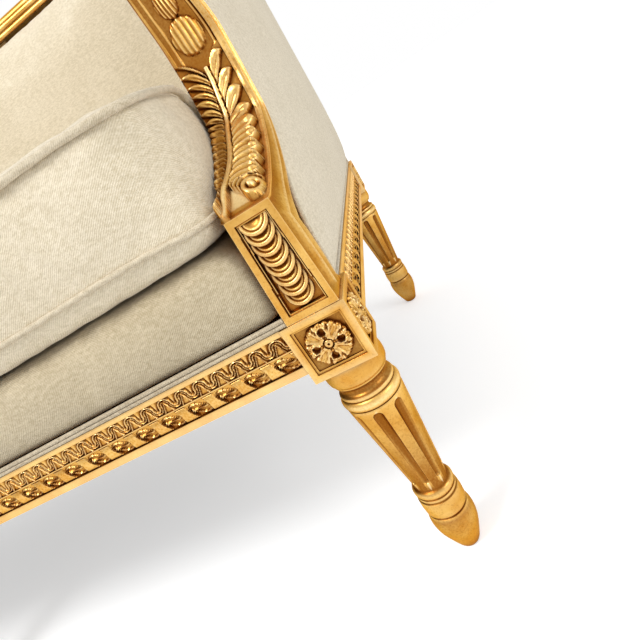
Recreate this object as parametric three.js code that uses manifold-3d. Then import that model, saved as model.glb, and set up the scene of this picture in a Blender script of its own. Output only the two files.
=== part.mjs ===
// Récamier in gilded beech with a low end, a high end and a sloping back, upholstered in linen.
// Millimetres. X runs along the seat, Y from the front to the back, Z up from the floor.
// The origin is on the floor under the middle of the whole piece.
import * as THREE from 'three';
import { mergeVertices } from 'three/addons/utils/BufferGeometryUtils.js';
import Module from 'manifold-3d';

const wasm = await Module();
wasm.setup();

// Driving dimensions of the frame
const overall_length = 1680;
const frame_depth = 690;
const leg_height = 262;
const leg_radius = 31;
const spigot_radius = 12;
const spigot_length = 24;
const block_size = 60;
const block_height = 58;
const rail_rise = 11;
const rail_setback = 2.4;
const side_rail_setback = 4;
const front_rail_thickness = 40;
const rear_rail_thickness = 48;
const side_rail_thickness = 40;
const arm_height_above_seat = 342;
const arm_depth = 180;
const arm_rail_width = 46;
const arm_rail_thickness = 30;
const arm_setback = 5;
const scroll_radius = 30;
const head_height = 880;
const foot_height = 704;
const back_rake = 40;
const crest_depth = 46;
const crest_thickness = 34;

// Upholstery
const deck_height = 400;
const cushion_gap = 1.5;
const cushion_crown = 22;
const pad_bottom = 403;
const end_pad_crown = 30;
const back_pad_crown = 42;
const outside_panel_thickness = 8;
const outside_panel_bulge = 5.5;
const outside_panel_setback = 7;
const webbing_thickness = 1.6;
const webbing_width = 50;
const cambric_thickness = 1.2;

// Inner framing
const member_width = 28;
const member_depth = 26;
const member_setback = 14;
const tack_rail_height = 30;
const brace_length = 120;
const brace_height = 26;
const stretcher_width = 34;
const stretcher_height = 38;
const spring_wire_radius = 2;
const spring_width = 46;
const spring_bearing_length = 24;
const spring_count = 10;

// Clearances
const gap = 0.3;
const overrun = 5;
const cloth_gap = 1;

// Places worked out from the sizes above
const half_length = overall_length / 2;
const block_bottom = leg_height;
const seat_top = leg_height + block_height;
const rake_slope = back_rake / (head_height - seat_top);
const crest_overhang = rake_slope * (head_height - crest_thickness - seat_top) - rail_setback;
const front_y = -(frame_depth + crest_overhang) / 2;
const rear_y = front_y + frame_depth;
const arm_top = seat_top + arm_height_above_seat;

const gilt = () => new THREE.MeshStandardMaterial({ color: '#d0a04c', roughness: 0.36, metalness: 0.9 });
const linen = () => new THREE.MeshStandardMaterial({ color: '#d3c7b0', roughness: 0.92, metalness: 0 });
const beech = () => new THREE.MeshStandardMaterial({ color: '#c8a476', roughness: 0.7, metalness: 0 });
const steel = () => new THREE.MeshStandardMaterial({ color: '#808488', roughness: 0.4, metalness: 1 });
const jute = () => new THREE.MeshStandardMaterial({ color: '#a98a5c', roughness: 0.95, metalness: 0 });
const cambric = () => new THREE.MeshStandardMaterial({ color: '#2b2926', roughness: 0.95, metalness: 0 });

const recamier = new THREE.Group();

// Turns a three.js geometry into a solid that can be joined and cut
function solidOf(geometry) {
  const bare = geometry.clone();
  bare.deleteAttribute('normal');
  bare.deleteAttribute('uv');
  const merged = mergeVertices(bare);
  return new wasm.Manifold(new wasm.Mesh({
    numProp: 3,
    vertProperties: new Float32Array(merged.attributes.position.array),
    triVerts: new Uint32Array(merged.index.array),
  }));
}

function geometryOf(solid) {
  const mesh = solid.getMesh();
  const geometry = new THREE.BufferGeometry();
  geometry.setAttribute('position', new THREE.BufferAttribute(new Float32Array(mesh.vertProperties), 3));
  geometry.setIndex(new THREE.BufferAttribute(new Uint32Array(mesh.triVerts), 1));
  geometry.computeVertexNormals();
  return geometry;
}

function add(name, geometry, material) {
  const mesh = new THREE.Mesh(geometry, material);
  mesh.name = name;
  recamier.add(mesh);
  return mesh;
}

function box(x0, x1, y0, y1, z0, z1) {
  const geometry = new THREE.BoxGeometry(Math.abs(x1 - x0), Math.abs(y1 - y0), Math.abs(z1 - z0));
  return geometry.translate((x0 + x1) / 2, (y0 + y1) / 2, (z0 + z1) / 2);
}

function newellNormal(ring) {
  const normal = new THREE.Vector3();
  ring.forEach((point, i) => {
    const next = ring[(i + 1) % ring.length];
    normal.x += (point.y - next.y) * (point.z + next.z);
    normal.y += (point.z - next.z) * (point.x + next.x);
    normal.z += (point.x - next.x) * (point.y + next.y);
  });
  return normal.normalize();
}

function capFaces(ring) {
  const normal = newellNormal(ring);
  const side = new THREE.Vector3(1, 0, 0);
  if (Math.abs(normal.x) > 0.8) side.set(0, 1, 0);
  const u = side.clone().cross(normal).normalize();
  const v = normal.clone().cross(u);
  return THREE.ShapeUtils.triangulateShape(ring.map((p) => new THREE.Vector2(p.dot(u), p.dot(v))), []);
}

// Closed skin over rings that all have the same number of points, with a flat cap at each end
function skin(rings) {
  const count = rings[0].length;
  const positions = rings.flat().flatMap((p) => [p.x, p.y, p.z]);
  const faces = [];
  for (let k = 0; k + 1 < rings.length; k += 1) {
    for (let i = 0; i < count; i += 1) {
      const a = k * count + i;
      const b = k * count + (i + 1) % count;
      faces.push(a, b, b + count, a, b + count, a + count);
    }
  }
  const last = (rings.length - 1) * count;
  capFaces(rings[0]).forEach(([a, b, c]) => faces.push(a, c, b));
  capFaces(rings.at(-1)).forEach(([a, b, c]) => faces.push(last + a, last + b, last + c));
  const geometry = new THREE.BufferGeometry();
  geometry.setAttribute('position', new THREE.Float32BufferAttribute(positions, 3));
  geometry.setIndex(signedVolume(positions, faces) < 0 ? faces.reverse() : faces);
  geometry.computeVertexNormals();
  return geometry;
}

function signedVolume(positions, faces) {
  const point = (i) => new THREE.Vector3().fromArray(positions, 3 * i);
  let sum = 0;
  for (let f = 0; f < faces.length; f += 3) {
    sum += point(faces[f]).dot(point(faces[f + 1]).cross(point(faces[f + 2])));
  }
  return sum;
}

// An outline in the X-Y plane, given as pairs, pushed up along Z between two levels
function slabUp(outline, z0, z1) {
  return skin([z0, z1].map((z) => outline.map(([x, y]) => new THREE.Vector3(x, y, z))));
}

function smooth(t) {
  const c = Math.min(1, Math.max(0, t));
  return c * c * (3 - 2 * c);
}

// Stations of a faceted curve between two limits, with the limits themselves
function stationsBetween(stations, low, high) {
  return [low, ...stations.filter((v) => v > low + gap && v < high - gap), high];
}

// Height of a faceted curve, read on the straight facet between its stations
function onFacets(stations, heightAt, v) {
  const k = Math.min(stations.length - 2, Math.max(0, stations.findIndex((s) => s > v) - 1));
  const t = (v - stations[k]) / (stations[k + 1] - stations[k]);
  return THREE.MathUtils.lerp(heightAt(stations[k]), heightAt(stations[k + 1]), t);
}

function evenly(low, high, steps) {
  return Array.from({ length: steps + 1 }, (_, k) => THREE.MathUtils.lerp(low, high, k / steps));
}

function rakeAt(z) {
  return Math.max(0, z - seat_top) * rake_slope;
}

// Turned and fluted leg. Each row is a height share of the leg and a radius share of its widest turning.
const leg_foot_shares = [
  [0, 0.32], [0.016, 0.42], [0.11, 0.63], [0.165, 0.775], [0.2, 0.70], [0.262, 0.735], [0.29, 0.79],
  [0.315, 0.60],
];
const leg_shaft_shares = [0.35, 0.372, 0.712, 0.735];
const leg_shoulder_shares = [[0.79, 0.99], [0.83, 0.93], [0.862, 0.74], [0.93, 0.95], [1, 0.95]];
const flute_count = 8;
const flute_depth = 3.4;
const flute_edge_share = 0.27;

function legRing(x, y, z, radius, depth) {
  const ring = [];
  for (let flute = 0; flute < flute_count; flute += 1) {
    [-flute_edge_share, 0, flute_edge_share].forEach((share) => {
      const angle = (2 * Math.PI * (flute + 0.5 + share)) / flute_count;
      const r = share === 0 ? radius - depth : radius;
      ring.push(new THREE.Vector3(x + r * Math.cos(angle), y + r * Math.sin(angle), z));
    });
  }
  return ring;
}

function legGeometry(x, y) {
  const plain = ([heightShare, radiusShare]) => (
    legRing(x, y, heightShare * (leg_height - gap), radiusShare * leg_radius, 0));
  const foot = leg_foot_shares.map(plain);
  const [footTop, shaftBase] = leg_foot_shares.at(-1);
  const [shoulder, shaftHead] = leg_shoulder_shares[0];
  const shaft = leg_shaft_shares.map((share, i) => {
    const along = (share - footTop) / (shoulder - footTop);
    const radius = leg_radius * (shaftBase + along * (shaftHead - shaftBase));
    const cut = i === 1 || i === 2 ? flute_depth : 0;
    return legRing(x, y, share * leg_height, radius, cut);
  });
  const spigot = [leg_height - gap, leg_height + spigot_length].map((z) => (
    legRing(x, y, z, spigot_radius, 0)));
  return skin([...foot, ...shaft, ...leg_shoulder_shares.map(plain), ...spigot]);
}

// Die block with a stepped square sinking and a leafy rosette on each outward face
const sinking_border = 6.4;
const sinking_depth = 2;
const sinking_step = 2.2;
const rosette_radius = 20;
const rosette_rise = 2.9;
const rosette_lobes = 8;
const rosette_ripple_share = 0.09;
const rosette_points_per_lobe = 2;
const socket_clearance = 0.4;
const socket_sides = 24;

function rosetteSolid() {
  const outline = (scale, rise) => {
    const ring = [];
    const steps = rosette_lobes * rosette_points_per_lobe;
    for (let i = 0; i < steps; i += 1) {
      const angle = (2 * Math.PI * i) / steps;
      const ripple = 1 + rosette_ripple_share * Math.cos(rosette_lobes * angle);
      const r = rosette_radius * scale * ripple;
      ring.push(new THREE.Vector3(r * Math.cos(angle), -rise, r * Math.sin(angle)));
    }
    return ring;
  };
  const leafShares = [[1, -0.5], [0.94, 0.8], [0.78, 1], [0.3, 0.5], [0.2, 1.2], [0.08, 1.3]];
  return solidOf(skin(leafShares.map(([scale, rise]) => outline(scale, rise * rosette_rise))));
}

// One carved face: turned about the block's upright centre line by the given angle
function carveFace(block, x, y, angle) {
  const half = block_size / 2;
  const middle = block_bottom + block_height / 2;
  const wide = half - sinking_border;
  const tall = block_height / 2 - sinking_border;
  const outer = box(-wide, wide, -half - overrun, -half + sinking_depth, -tall, tall);
  const inner = box(-wide + sinking_step, wide - sinking_step, -half - overrun,
    -half + 2 * sinking_depth, -tall + sinking_step, tall - sinking_step);
  const put = (geometry) => solidOf(geometry.rotateZ(angle).translate(x, y, middle));
  const rosette = geometryOf(rosetteSolid()).translate(0, -half + 2 * sinking_depth, 0);
  return block.subtract(put(outer)).subtract(put(inner)).add(put(rosette));
}

function dieBlockGeometry(x, y, faceAngles) {
  const half = block_size / 2;
  let block = solidOf(box(x - half, x + half, y - half, y + half, block_bottom, seat_top));
  const socket = new THREE.CylinderGeometry(spigot_radius + socket_clearance,
    spigot_radius + socket_clearance, spigot_length + socket_clearance + overrun, socket_sides);
  socket.rotateX(Math.PI / 2);
  socket.translate(x, y, block_bottom + (spigot_length + socket_clearance - overrun) / 2);
  block = block.subtract(solidOf(socket));
  faceAngles.forEach((angle) => {
    block = carveFace(block, x, y, angle);
  });
  return geometryOf(block);
}

const corner_x = half_length - block_size / 2;
const front_row_y = front_y + block_size / 2;
const rear_row_y = rear_y - block_size / 2;
const leg_places = {
  front_right: [corner_x, front_row_y, [0, Math.PI / 2]],
  front_centre: [0, front_row_y, [0]],
  front_left: [-corner_x, front_row_y, [0, -Math.PI / 2]],
  rear_right: [corner_x, rear_row_y, [Math.PI / 2]],
  rear_centre: [0, rear_row_y, []],
  rear_left: [-corner_x, rear_row_y, [-Math.PI / 2]],
};
Object.entries(leg_places).forEach(([place, [x, y, faceAngles]]) => {
  add(`leg_${place}`, legGeometry(x, y), gilt());
  add(`die_block_${place}`, dieBlockGeometry(x, y, faceAngles), gilt());
});

// Seat rails. Each row is a depth share of the moulding and a height share of the rail.
const moulding_depth = 5;
const rail_profile_shares = [
  [0, 0], [0, 0.175], [0.8, 0.175], [0.7, 0.23], [0.2, 0.30], [0, 0.375], [0.2, 0.46], [0.6, 0.53],
  [0.2, 0.55], [0.2, 0.585], [0.9, 0.60], [0.7, 0.72], [0.3, 0.86], [0, 0.89], [0, 1],
];

function railGeometry(length, thickness) {
  const height = block_height - rail_rise;
  const profile = rail_profile_shares.map(([depth, rise]) => [depth * moulding_depth, rise * height]);
  const shape = new THREE.Shape();
  shape.moveTo(thickness, 0);
  profile.forEach(([depth, rise]) => shape.lineTo(depth, rise));
  shape.lineTo(thickness, height);
  shape.closePath();
  const geometry = new THREE.ExtrudeGeometry(shape, { depth: length, bevelEnabled: false });
  // The shape's first axis becomes depth into the rail, its second height, and the extrusion runs along X
  const turn = new THREE.Matrix4().makeBasis(
    new THREE.Vector3(0, 1, 0), new THREE.Vector3(0, 0, 1), new THREE.Vector3(1, 0, 0));
  return geometry.applyMatrix4(turn).translate(-length / 2, 0, block_bottom + rail_rise);
}

const long_rail = corner_x - block_size - 2 * gap;
const long_rail_centre = corner_x / 2;
const short_rail = frame_depth - 2 * block_size - 2 * gap;
[['right', 1], ['left', -1]].forEach(([side, sign]) => {
  const front = add(`front_rail_${side}`, railGeometry(long_rail, front_rail_thickness), gilt());
  front.position.set(sign * long_rail_centre, front_y + rail_setback, 0);
  const rear = add(`rear_rail_${side}`, railGeometry(long_rail, rear_rail_thickness), gilt());
  rear.position.set(sign * long_rail_centre, rear_y - rail_setback, 0);
  rear.rotation.z = Math.PI;
  const end = add(`side_rail_${side}`, railGeometry(short_rail, side_rail_thickness), gilt());
  end.position.set(sign * (half_length - side_rail_setback), front_y + frame_depth / 2, 0);
  end.rotation.z = (sign * Math.PI) / 2;
});

// Arm support: a panelled stump under a console that sweeps back and up.
// Rows are shares of the arm's reach back and of its rise above the seat rail.
const console_front_shares = [
  [0.033, 0.269], [0.256, 0.301], [0.461, 0.351], [0.628, 0.411], [0.717, 0.456],
  [0.75, 0.515], [0.783, 0.57], [0.811, 0.684], [0.789, 0.772], [0.76, 0.86],
];
const console_back_shares = [
  [0.367, 0.158], [0.467, 0.225], [0.611, 0.284], [0.767, 0.363], [0.867, 0.439],
  [0.894, 0.503], [0.928, 0.561], [0.978, 0.684], [0.985, 0.772], [0.985, 0.86],
];
const stump_front_shares = [[0.006, 0], [0.012, 0.1], [0.017, 0.19], [0.022, 0.275]];
const stump_back_shares = [[0.278, 0], [0.325, 0.063], [0.35, 0.133], [0.38, 0.187], [0.44, 0.275]];
const stump_foot_outer_setback = 3.1;
const stump_foot_inner_setback = 51.7;
const stump_head_outer_setback = 7.6;
const stump_head_inner_setback = 47.6;
const stump_steps = 4;
const console_outer_setback = 7.6;
const console_inner_setback = 51.6;
const console_stations = 30;
const leaflet_count = 9;
const leaf_ground = 2.6;
const leaf_rise = 3.6;
const leaflet_ripple = 1.5;
const midrib_rise = 1.6;
const leaflet_sweep_share = 0.16;
const leaf_across_shares = [-1, -0.85, -0.78, -0.5, -0.14, 0, 0.14, 0.5, 0.78, 0.85, 1];
const leaf_edge_share = 0.75;
const leaf_border_share = 0.83;
const midrib_share = 0.1;
// The leaf is bowed: its midrib stands out most over the foot and leans to the seat's side there
const leaf_crown = 14;
const leaf_crown_top_share = 0.2;
const leaf_crown_foot_share = 0.6;
const leaf_crown_full_shares = [0.06, 0.15];
const leaf_crown_end_share = 0.6;
const leaf_lean_share = 0.2;
const leaf_outer_edge_share = 0.2;
const leaf_inner_edge_share = 0.5;
// Side moulding behind the carved face: share of the console's depth, and share of the moulding's hollow
const side_hollow = 3;
const side_moulding_shares = [[0.06, 0], [0.22, 1], [0.4, 0.2], [0.55, 0.9], [0.72, 0.2], [1, 0.3]];

const armPoint = ([reach, rise]) => (
  new THREE.Vector3(0, front_y + reach * arm_depth, seat_top + gap + rise * arm_height_above_seat));

function curveThrough(shares) {
  return new THREE.CatmullRomCurve3(shares.map(armPoint), false, 'catmullrom', 0.5);
}

// Share of the crown that stands at a place along the console
function crownShareAt(along) {
  const [rising, falling] = leaf_crown_full_shares;
  const foot = THREE.MathUtils.lerp(leaf_crown_foot_share, 1, smooth(along / rising));
  const fall = smooth((along - falling) / (leaf_crown_end_share - falling));
  return foot * THREE.MathUtils.lerp(1, leaf_crown_top_share, fall);
}

// Share of the crown that stands at a place across the console, with none on the plain borders
function bowShareAt(across) {
  const away = Math.abs(across);
  if (away >= (across > 0 ? 1 : leaf_border_share)) return 0;
  const edge = across > 0 ? leaf_inner_edge_share : leaf_outer_edge_share;
  return 1 - (1 - edge) * (away / leaf_border_share) ** 2;
}

function leafRelief(across, along) {
  const away = Math.abs(across);
  if (away > leaf_border_share) return 0;
  if (away > leaf_edge_share) return -leaf_ground;
  const phase = 2 * Math.PI * leaflet_count * (along - leaflet_sweep_share * away);
  const swell = leaf_rise * Math.cos((away * Math.PI) / 2) - leaf_ground;
  return swell + leaflet_ripple * away * Math.sin(phase) + (away < midrib_share ? midrib_rise : 0);
}

function consoleRing(front, back, tangent, along) {
  const centre = (console_outer_setback + console_inner_setback) / 2;
  const half = (console_inner_setback - console_outer_setback) / 2;
  const outward = new THREE.Vector3(0, -tangent.z, tangent.y);
  const crown = leaf_crown * crownShareAt(along);
  const ring = leaf_across_shares.map((across) => {
    const rise = crown * bowShareAt(across) + leafRelief(across, along);
    const point = front.clone().addScaledVector(outward, rise);
    const lean = leaf_lean_share * crownShareAt(along) * (1 - across * across);
    point.x = -(centre + (across + lean) * half);
    return point;
  });
  const flank = (sign) => side_moulding_shares.map(([depth, hollow]) => {
    const point = front.clone().lerp(back, depth);
    point.x = -(centre + sign * (half - hollow * side_hollow));
    return point;
  });
  return [...ring, ...flank(1), ...flank(-1).reverse()];
}

function consoleSolid() {
  const front = curveThrough(console_front_shares);
  const back = curveThrough(console_back_shares);
  const rings = [];
  for (let k = 0; k <= console_stations; k += 1) {
    const t = k / console_stations;
    rings.push(consoleRing(front.getPoint(t), back.getPoint(t), front.getTangent(t), t));
  }
  return solidOf(skin(rings));
}

function stumpSolid() {
  const front = curveThrough(stump_front_shares);
  const back = curveThrough(stump_back_shares);
  const rings = evenly(0, 1, stump_steps).map((t) => {
    const near = front.getPoint(t);
    const far = back.getPoint(t);
    const outer = THREE.MathUtils.lerp(stump_foot_outer_setback, stump_head_outer_setback, t);
    const inner = THREE.MathUtils.lerp(stump_foot_inner_setback, stump_head_inner_setback, t);
    const z = THREE.MathUtils.lerp(seat_top + gap, front.getPoint(1).z, t);
    return [[outer, near.y], [inner, near.y], [inner, far.y], [outer, far.y]]
      .map(([u, y]) => new THREE.Vector3(-u, y, z));
  });
  return solidOf(skin(rings));
}

// Column of overlapping coins in the sunk panel of the stump
const panel_border = 6;
const panel_depth = 5;
const coin_count = 8;
const coin_thickness = 4;
const coin_tilt = -0.36;
const coin_margin = 0.7;
const coin_top_share = 0.1;
const coin_sides = 12;

function panelledStump() {
  const bottom = seat_top + gap + panel_border;
  const top = armPoint(stump_front_shares.at(-1)).z - panel_border;
  const face = armPoint(stump_front_shares.at(-1)).y;
  const low = stump_head_outer_setback + panel_border;
  const high = stump_head_inner_setback - panel_border;
  const sunk = solidOf(box(-high, -low, face - panel_depth - overrun, face + panel_depth, bottom, top));
  let stump = stumpSolid().subtract(sunk);
  const radius = (high - low) / 2 - coin_margin;
  const highest = top - coin_top_share * radius;
  const lowest = bottom + radius;
  evenly(lowest, highest, coin_count - 1).forEach((z) => {
    const coin = new THREE.CylinderGeometry(radius, radius, coin_thickness, coin_sides);
    coin.rotateX(coin_tilt).translate(-(low + high) / 2, face + panel_depth, z);
    stump = stump.add(solidOf(coin));
  });
  return stump;
}

const arm_support_solid = panelledStump().add(consoleSolid());

function mirrored(geometry) {
  const copy = geometry.clone().scale(-1, 1, 1);
  const index = Array.from(copy.index.array).reverse();
  copy.setIndex(index);
  copy.computeVertexNormals();
  return copy;
}

// Arm rails: a moulded bar from the scroll back to the crest, level at first and then climbing
const arm_section_shares = [
  [0, -0.5], [0, 0.5], [0.2, 0.5], [0.32, 0.42], [0.55, 0.42], [0.68, 0.5], [0.95, 0.34],
  [0.95, -0.34], [0.68, -0.5], [0.55, -0.42], [0.32, -0.42], [0.2, -0.5],
];
const arm_steps = 18;
const arm_level_share = 0.12;
const scroll_centre_y = front_y + arm_depth - scroll_radius;
const crest_front_y = rear_y - crest_depth - rail_setback;

function armTopAt(y, end_height) {
  const rear = crest_front_y + rakeAt(end_height);
  const t = (y - scroll_centre_y) / (rear - scroll_centre_y);
  return arm_top + (end_height - arm_top) * smooth((t - arm_level_share) / (1 - arm_level_share));
}

function armStations(end_height) {
  return evenly(scroll_centre_y, crest_front_y + rakeAt(end_height - crest_thickness) - gap, arm_steps);
}

function armTopOn(y, end_height) {
  return onFacets(armStations(end_height), (v) => armTopAt(v, end_height), y);
}

function armRailSolid(end_height) {
  const rings = armStations(end_height).map((y) => arm_section_shares.map(([rise, across]) => (
    new THREE.Vector3(-(arm_setback + arm_rail_width * (0.5 + across)), y,
      armTopAt(y, end_height) - (1 - rise) * arm_rail_thickness))));
  return solidOf(skin(rings));
}

// Scroll at the front of the arm, turned about an axis along X
const scroll_cheek = 2;
const scroll_sides = 16;
const scroll_profile_shares = [[0.3, 1], [0.38, 0.86], [0.56, 0.86], [0.64, 1], [0.92, 1], [1, 0.86]];

function circleAcross(x, y, z, radius, sides) {
  return Array.from({ length: sides }, (_, i) => {
    const angle = (2 * Math.PI * i) / sides;
    return new THREE.Vector3(x, y + radius * Math.cos(angle), z + radius * Math.sin(angle));
  });
}

function scrollSolid() {
  const half = arm_rail_width / 2 + scroll_cheek;
  const centre = -(arm_setback + arm_rail_width / 2);
  const left = scroll_profile_shares.map(([r, x]) => [r, -x]);
  const right = scroll_profile_shares.slice().reverse();
  return solidOf(skin([...left, ...right].map(([r, x]) => circleAcross(
    centre + x * half, scroll_centre_y, arm_top - scroll_radius, r * scroll_radius, scroll_sides))));
}

// The console's top is trimmed to sit just under the scroll and the rail
function trimUnderArm(support) {
  const room = solidOf(skin([-1, 1].map((sign) => circleAcross(
    -(arm_setback + arm_rail_width / 2) + sign * block_size, scroll_centre_y, arm_top - scroll_radius,
    scroll_radius + gap, scroll_sides * 2))));
  const under = arm_top - arm_rail_thickness - gap;
  const above = solidOf(box(-block_size * 2, block_size, scroll_centre_y, scroll_centre_y + block_size * 2,
    under, arm_top + overrun));
  return support.subtract(room).subtract(above);
}

function seatOnSide(name, geometry, sign, material) {
  const mesh = add(name, sign > 0 ? geometry : mirrored(geometry), material);
  mesh.position.x = sign * half_length;
  return mesh;
}

const arm_support_geometry = geometryOf(trimUnderArm(arm_support_solid));
[['right', 1, head_height], ['left', -1, foot_height]].forEach(([side, sign, end_height]) => {
  seatOnSide(`arm_support_${side}`, arm_support_geometry.clone(), sign, gilt());
  const rail = armRailSolid(end_height).add(scrollSolid());
  seatOnSide(`arm_rail_${side}`, geometryOf(rail), sign, gilt());
});

// Back: the crest falls in one sweep from the high end to the low end
const crest_fall_share = 0.5;
const crest_fall_centre_share = -0.06;
const crest_steps = 28;
const crest_section_shares = [
  [0, 0], [1, 0], [1, 0.2], [0.9, 0.34], [0.9, 0.55], [1, 0.7], [0.8, 0.98], [0.2, 0.98],
  [0, 0.7], [0.1, 0.55], [0.1, 0.34], [0, 0.2],
];

function crestTopAt(x) {
  const t = (x / overall_length - crest_fall_centre_share) / crest_fall_share + 0.5;
  return foot_height + (head_height - foot_height) * smooth(t);
}

const crest_stations = evenly(arm_setback - half_length, half_length - arm_setback, crest_steps);

function crestTopOn(x) {
  return onFacets(crest_stations, crestTopAt, x);
}

function crestGeometry() {
  return skin(crest_stations.map((x) => {
    const bottom = crestTopAt(x) - crest_thickness;
    return crest_section_shares.map(([depth, rise]) => new THREE.Vector3(
      x, crest_front_y + depth * crest_depth + rakeAt(bottom), bottom + rise * crest_thickness));
  }));
}

add('crest_rail', crestGeometry(), gilt());

// Inner framing of beech: posts, stile, tack rails, braces and the stretcher under the seat
const member_rear_y = rear_y - member_setback;
const member_front_y = member_rear_y - member_depth;
const member_outer = outside_panel_setback + outside_panel_thickness + cloth_gap;
const member_inner = member_outer + member_width;

// An upright between the seat and the crest, leaning back with the rake
function leaningUpright(x0, x1) {
  const plan = [[x0, member_front_y], [x0, member_rear_y], [x1, member_rear_y], [x1, member_front_y]];
  const ring = (levelAt) => plan.map(([x, y]) => new THREE.Vector3(x, y + rakeAt(levelAt(x)), levelAt(x)));
  return skin([ring(() => seat_top + gap), ring((x) => crestTopOn(x) - crest_thickness - gap)]);
}

const post_outer_x = half_length - member_outer;
const post_inner_x = half_length - member_inner;
add('rear_post_right', leaningUpright(post_inner_x, post_outer_x), beech());
add('rear_post_left', leaningUpright(-post_outer_x, -post_inner_x), beech());
add('back_stile_centre', leaningUpright(-member_width / 2, member_width / 2), beech());

const tack_rail_top = seat_top + tack_rail_height;
const tack_start = member_width / 2 + gap;
const tack_end = post_inner_x - gap;
[['right', tack_start, tack_end], ['left', -tack_end, -tack_start]].forEach(([side, x0, x1]) => {
  const outline = [[x0, seat_top + gap], [x1, seat_top + gap], [x1, tack_rail_top], [x0, tack_rail_top]];
  const rail = skin([member_front_y, member_rear_y].map((y) => outline.map(([x, z]) => (
    new THREE.Vector3(x, y + rakeAt(z), z)))));
  add(`back_tack_rail_${side}`, rail, beech());
});

const stump_rear_y = armPoint(stump_back_shares[2]).y;
[['right', 1], ['left', -1]].forEach(([side, sign]) => {
  const rail = box(-member_outer, -member_inner, stump_rear_y + gap + overrun, member_front_y - gap,
    seat_top + gap, tack_rail_top);
  seatOnSide(`end_tack_rail_${side}`, solidMesh(rail), sign, beech());
});

function solidMesh(geometry) {
  return geometryOf(solidOf(geometry));
}

const rail_inner_front = front_y + rail_setback + front_rail_thickness;
const rail_inner_rear = rear_y - rail_setback - rear_rail_thickness;
const rail_inner_side = half_length - side_rail_setback - side_rail_thickness;
const brace_bottom = block_bottom + rail_rise + (block_height - rail_rise - brace_height) / 2;

// A corner brace is notched round the die block and bears on both rails
function braceGeometry(sign, front) {
  const inward = front ? 1 : -1;
  const rail_y = (front ? rail_inner_front : rail_inner_rear) + inward * gap;
  const block_y = (front ? front_y : rear_y) + inward * (block_size + gap);
  const block_x = half_length - block_size - gap;
  const rail_x = rail_inner_side - gap;
  const far_x = half_length - brace_length;
  const far_y = (front ? front_y : rear_y) + inward * brace_length;
  const outline = [
    [far_x, rail_y], [block_x, rail_y], [block_x, block_y], [rail_x, block_y], [rail_x, far_y]];
  return slabUp(outline.map(([x, y]) => [sign * x, y]), brace_bottom, brace_bottom + brace_height);
}

[['right', 1], ['left', -1]].forEach(([side, sign]) => {
  add(`corner_brace_front_${side}`, braceGeometry(sign, true), beech());
  add(`corner_brace_rear_${side}`, braceGeometry(sign, false), beech());
});

const stretcher_top = seat_top - spring_wire_radius * 2;
add('seat_stretcher', box(-stretcher_width / 2, stretcher_width / 2, front_y + block_size + gap,
  rear_y - block_size - gap, stretcher_top - stretcher_height, stretcher_top), beech());

// Zigzag seat springs from the front rail to the rear rail
const spring_turns = 7;
const spring_sides = 4;

function springGeometry(x) {
  const z = seat_top + gap + spring_wire_radius;
  const start = rail_inner_front - spring_bearing_length;
  const end = member_front_y - spring_wire_radius - gap;
  const route = [];
  for (let k = 0; k <= spring_turns; k += 1) {
    const y = THREE.MathUtils.lerp(start, end, k / spring_turns);
    const swing = (k % 2 === 0 ? 1 : -1) * (spring_width / 2);
    const near = THREE.MathUtils.lerp(start, end, Math.max(0, k - 0.5) / spring_turns);
    const far = THREE.MathUtils.lerp(start, end, Math.min(spring_turns, k + 0.5) / spring_turns);
    route.push(new THREE.Vector3(x + swing, k === 0 ? y : (near + y) / 2, z));
    route.push(new THREE.Vector3(x + swing, k === spring_turns ? y : (far + y) / 2, z));
  }
  const rings = route.map((point, k) => {
    const before = route[Math.max(0, k - 1)];
    const after = route[Math.min(route.length - 1, k + 1)];
    const along = after.clone().sub(before).normalize();
    const side = new THREE.Vector3(-along.y, along.x, 0);
    return Array.from({ length: spring_sides }, (_, i) => {
      const angle = (2 * Math.PI * i) / spring_sides;
      return point.clone().addScaledVector(side, spring_wire_radius * Math.cos(angle))
        .add(new THREE.Vector3(0, 0, spring_wire_radius * Math.sin(angle)));
    });
  });
  return skin(rings);
}

const spring_field = overall_length - 2 * brace_length;
for (let i = 0; i < spring_count; i += 1) {
  const x = ((i + 0.5) / spring_count - 0.5) * spring_field;
  add(`seat_spring_${i + 1}`, springGeometry(x), steel());
}

// Black cambric under the seat, cut round the die blocks
function cambricGeometry() {
  const top = block_bottom + rail_rise - gap;
  const edge = moulding_depth + rail_setback + overrun;
  let sheet = solidOf(box(-half_length + edge, half_length - edge, front_y + edge, rear_y - edge,
    top - cambric_thickness, top));
  const room = block_size / 2 + gap;
  Object.values(leg_places).forEach(([x, y]) => {
    const hole = box(x - room, x + room, y - room, y + room, block_bottom - overrun, seat_top);
    sheet = sheet.subtract(solidOf(hole));
  });
  return geometryOf(sheet);
}

add('dust_cover', cambricGeometry(), cambric());

// Webbing: flat jute strips that cross in two layers, tacked to the framing
const web_space = 2 * webbing_thickness + 2 * gap;
const back_web_uprights = 9;
const back_web_crossing_shares = [0.35, 0.72];
const end_web_uprights = 4;
const end_web_crossing_shares = [0.5];
const web_overlap = 18;
const web_bite_share = 0.01;

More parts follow.
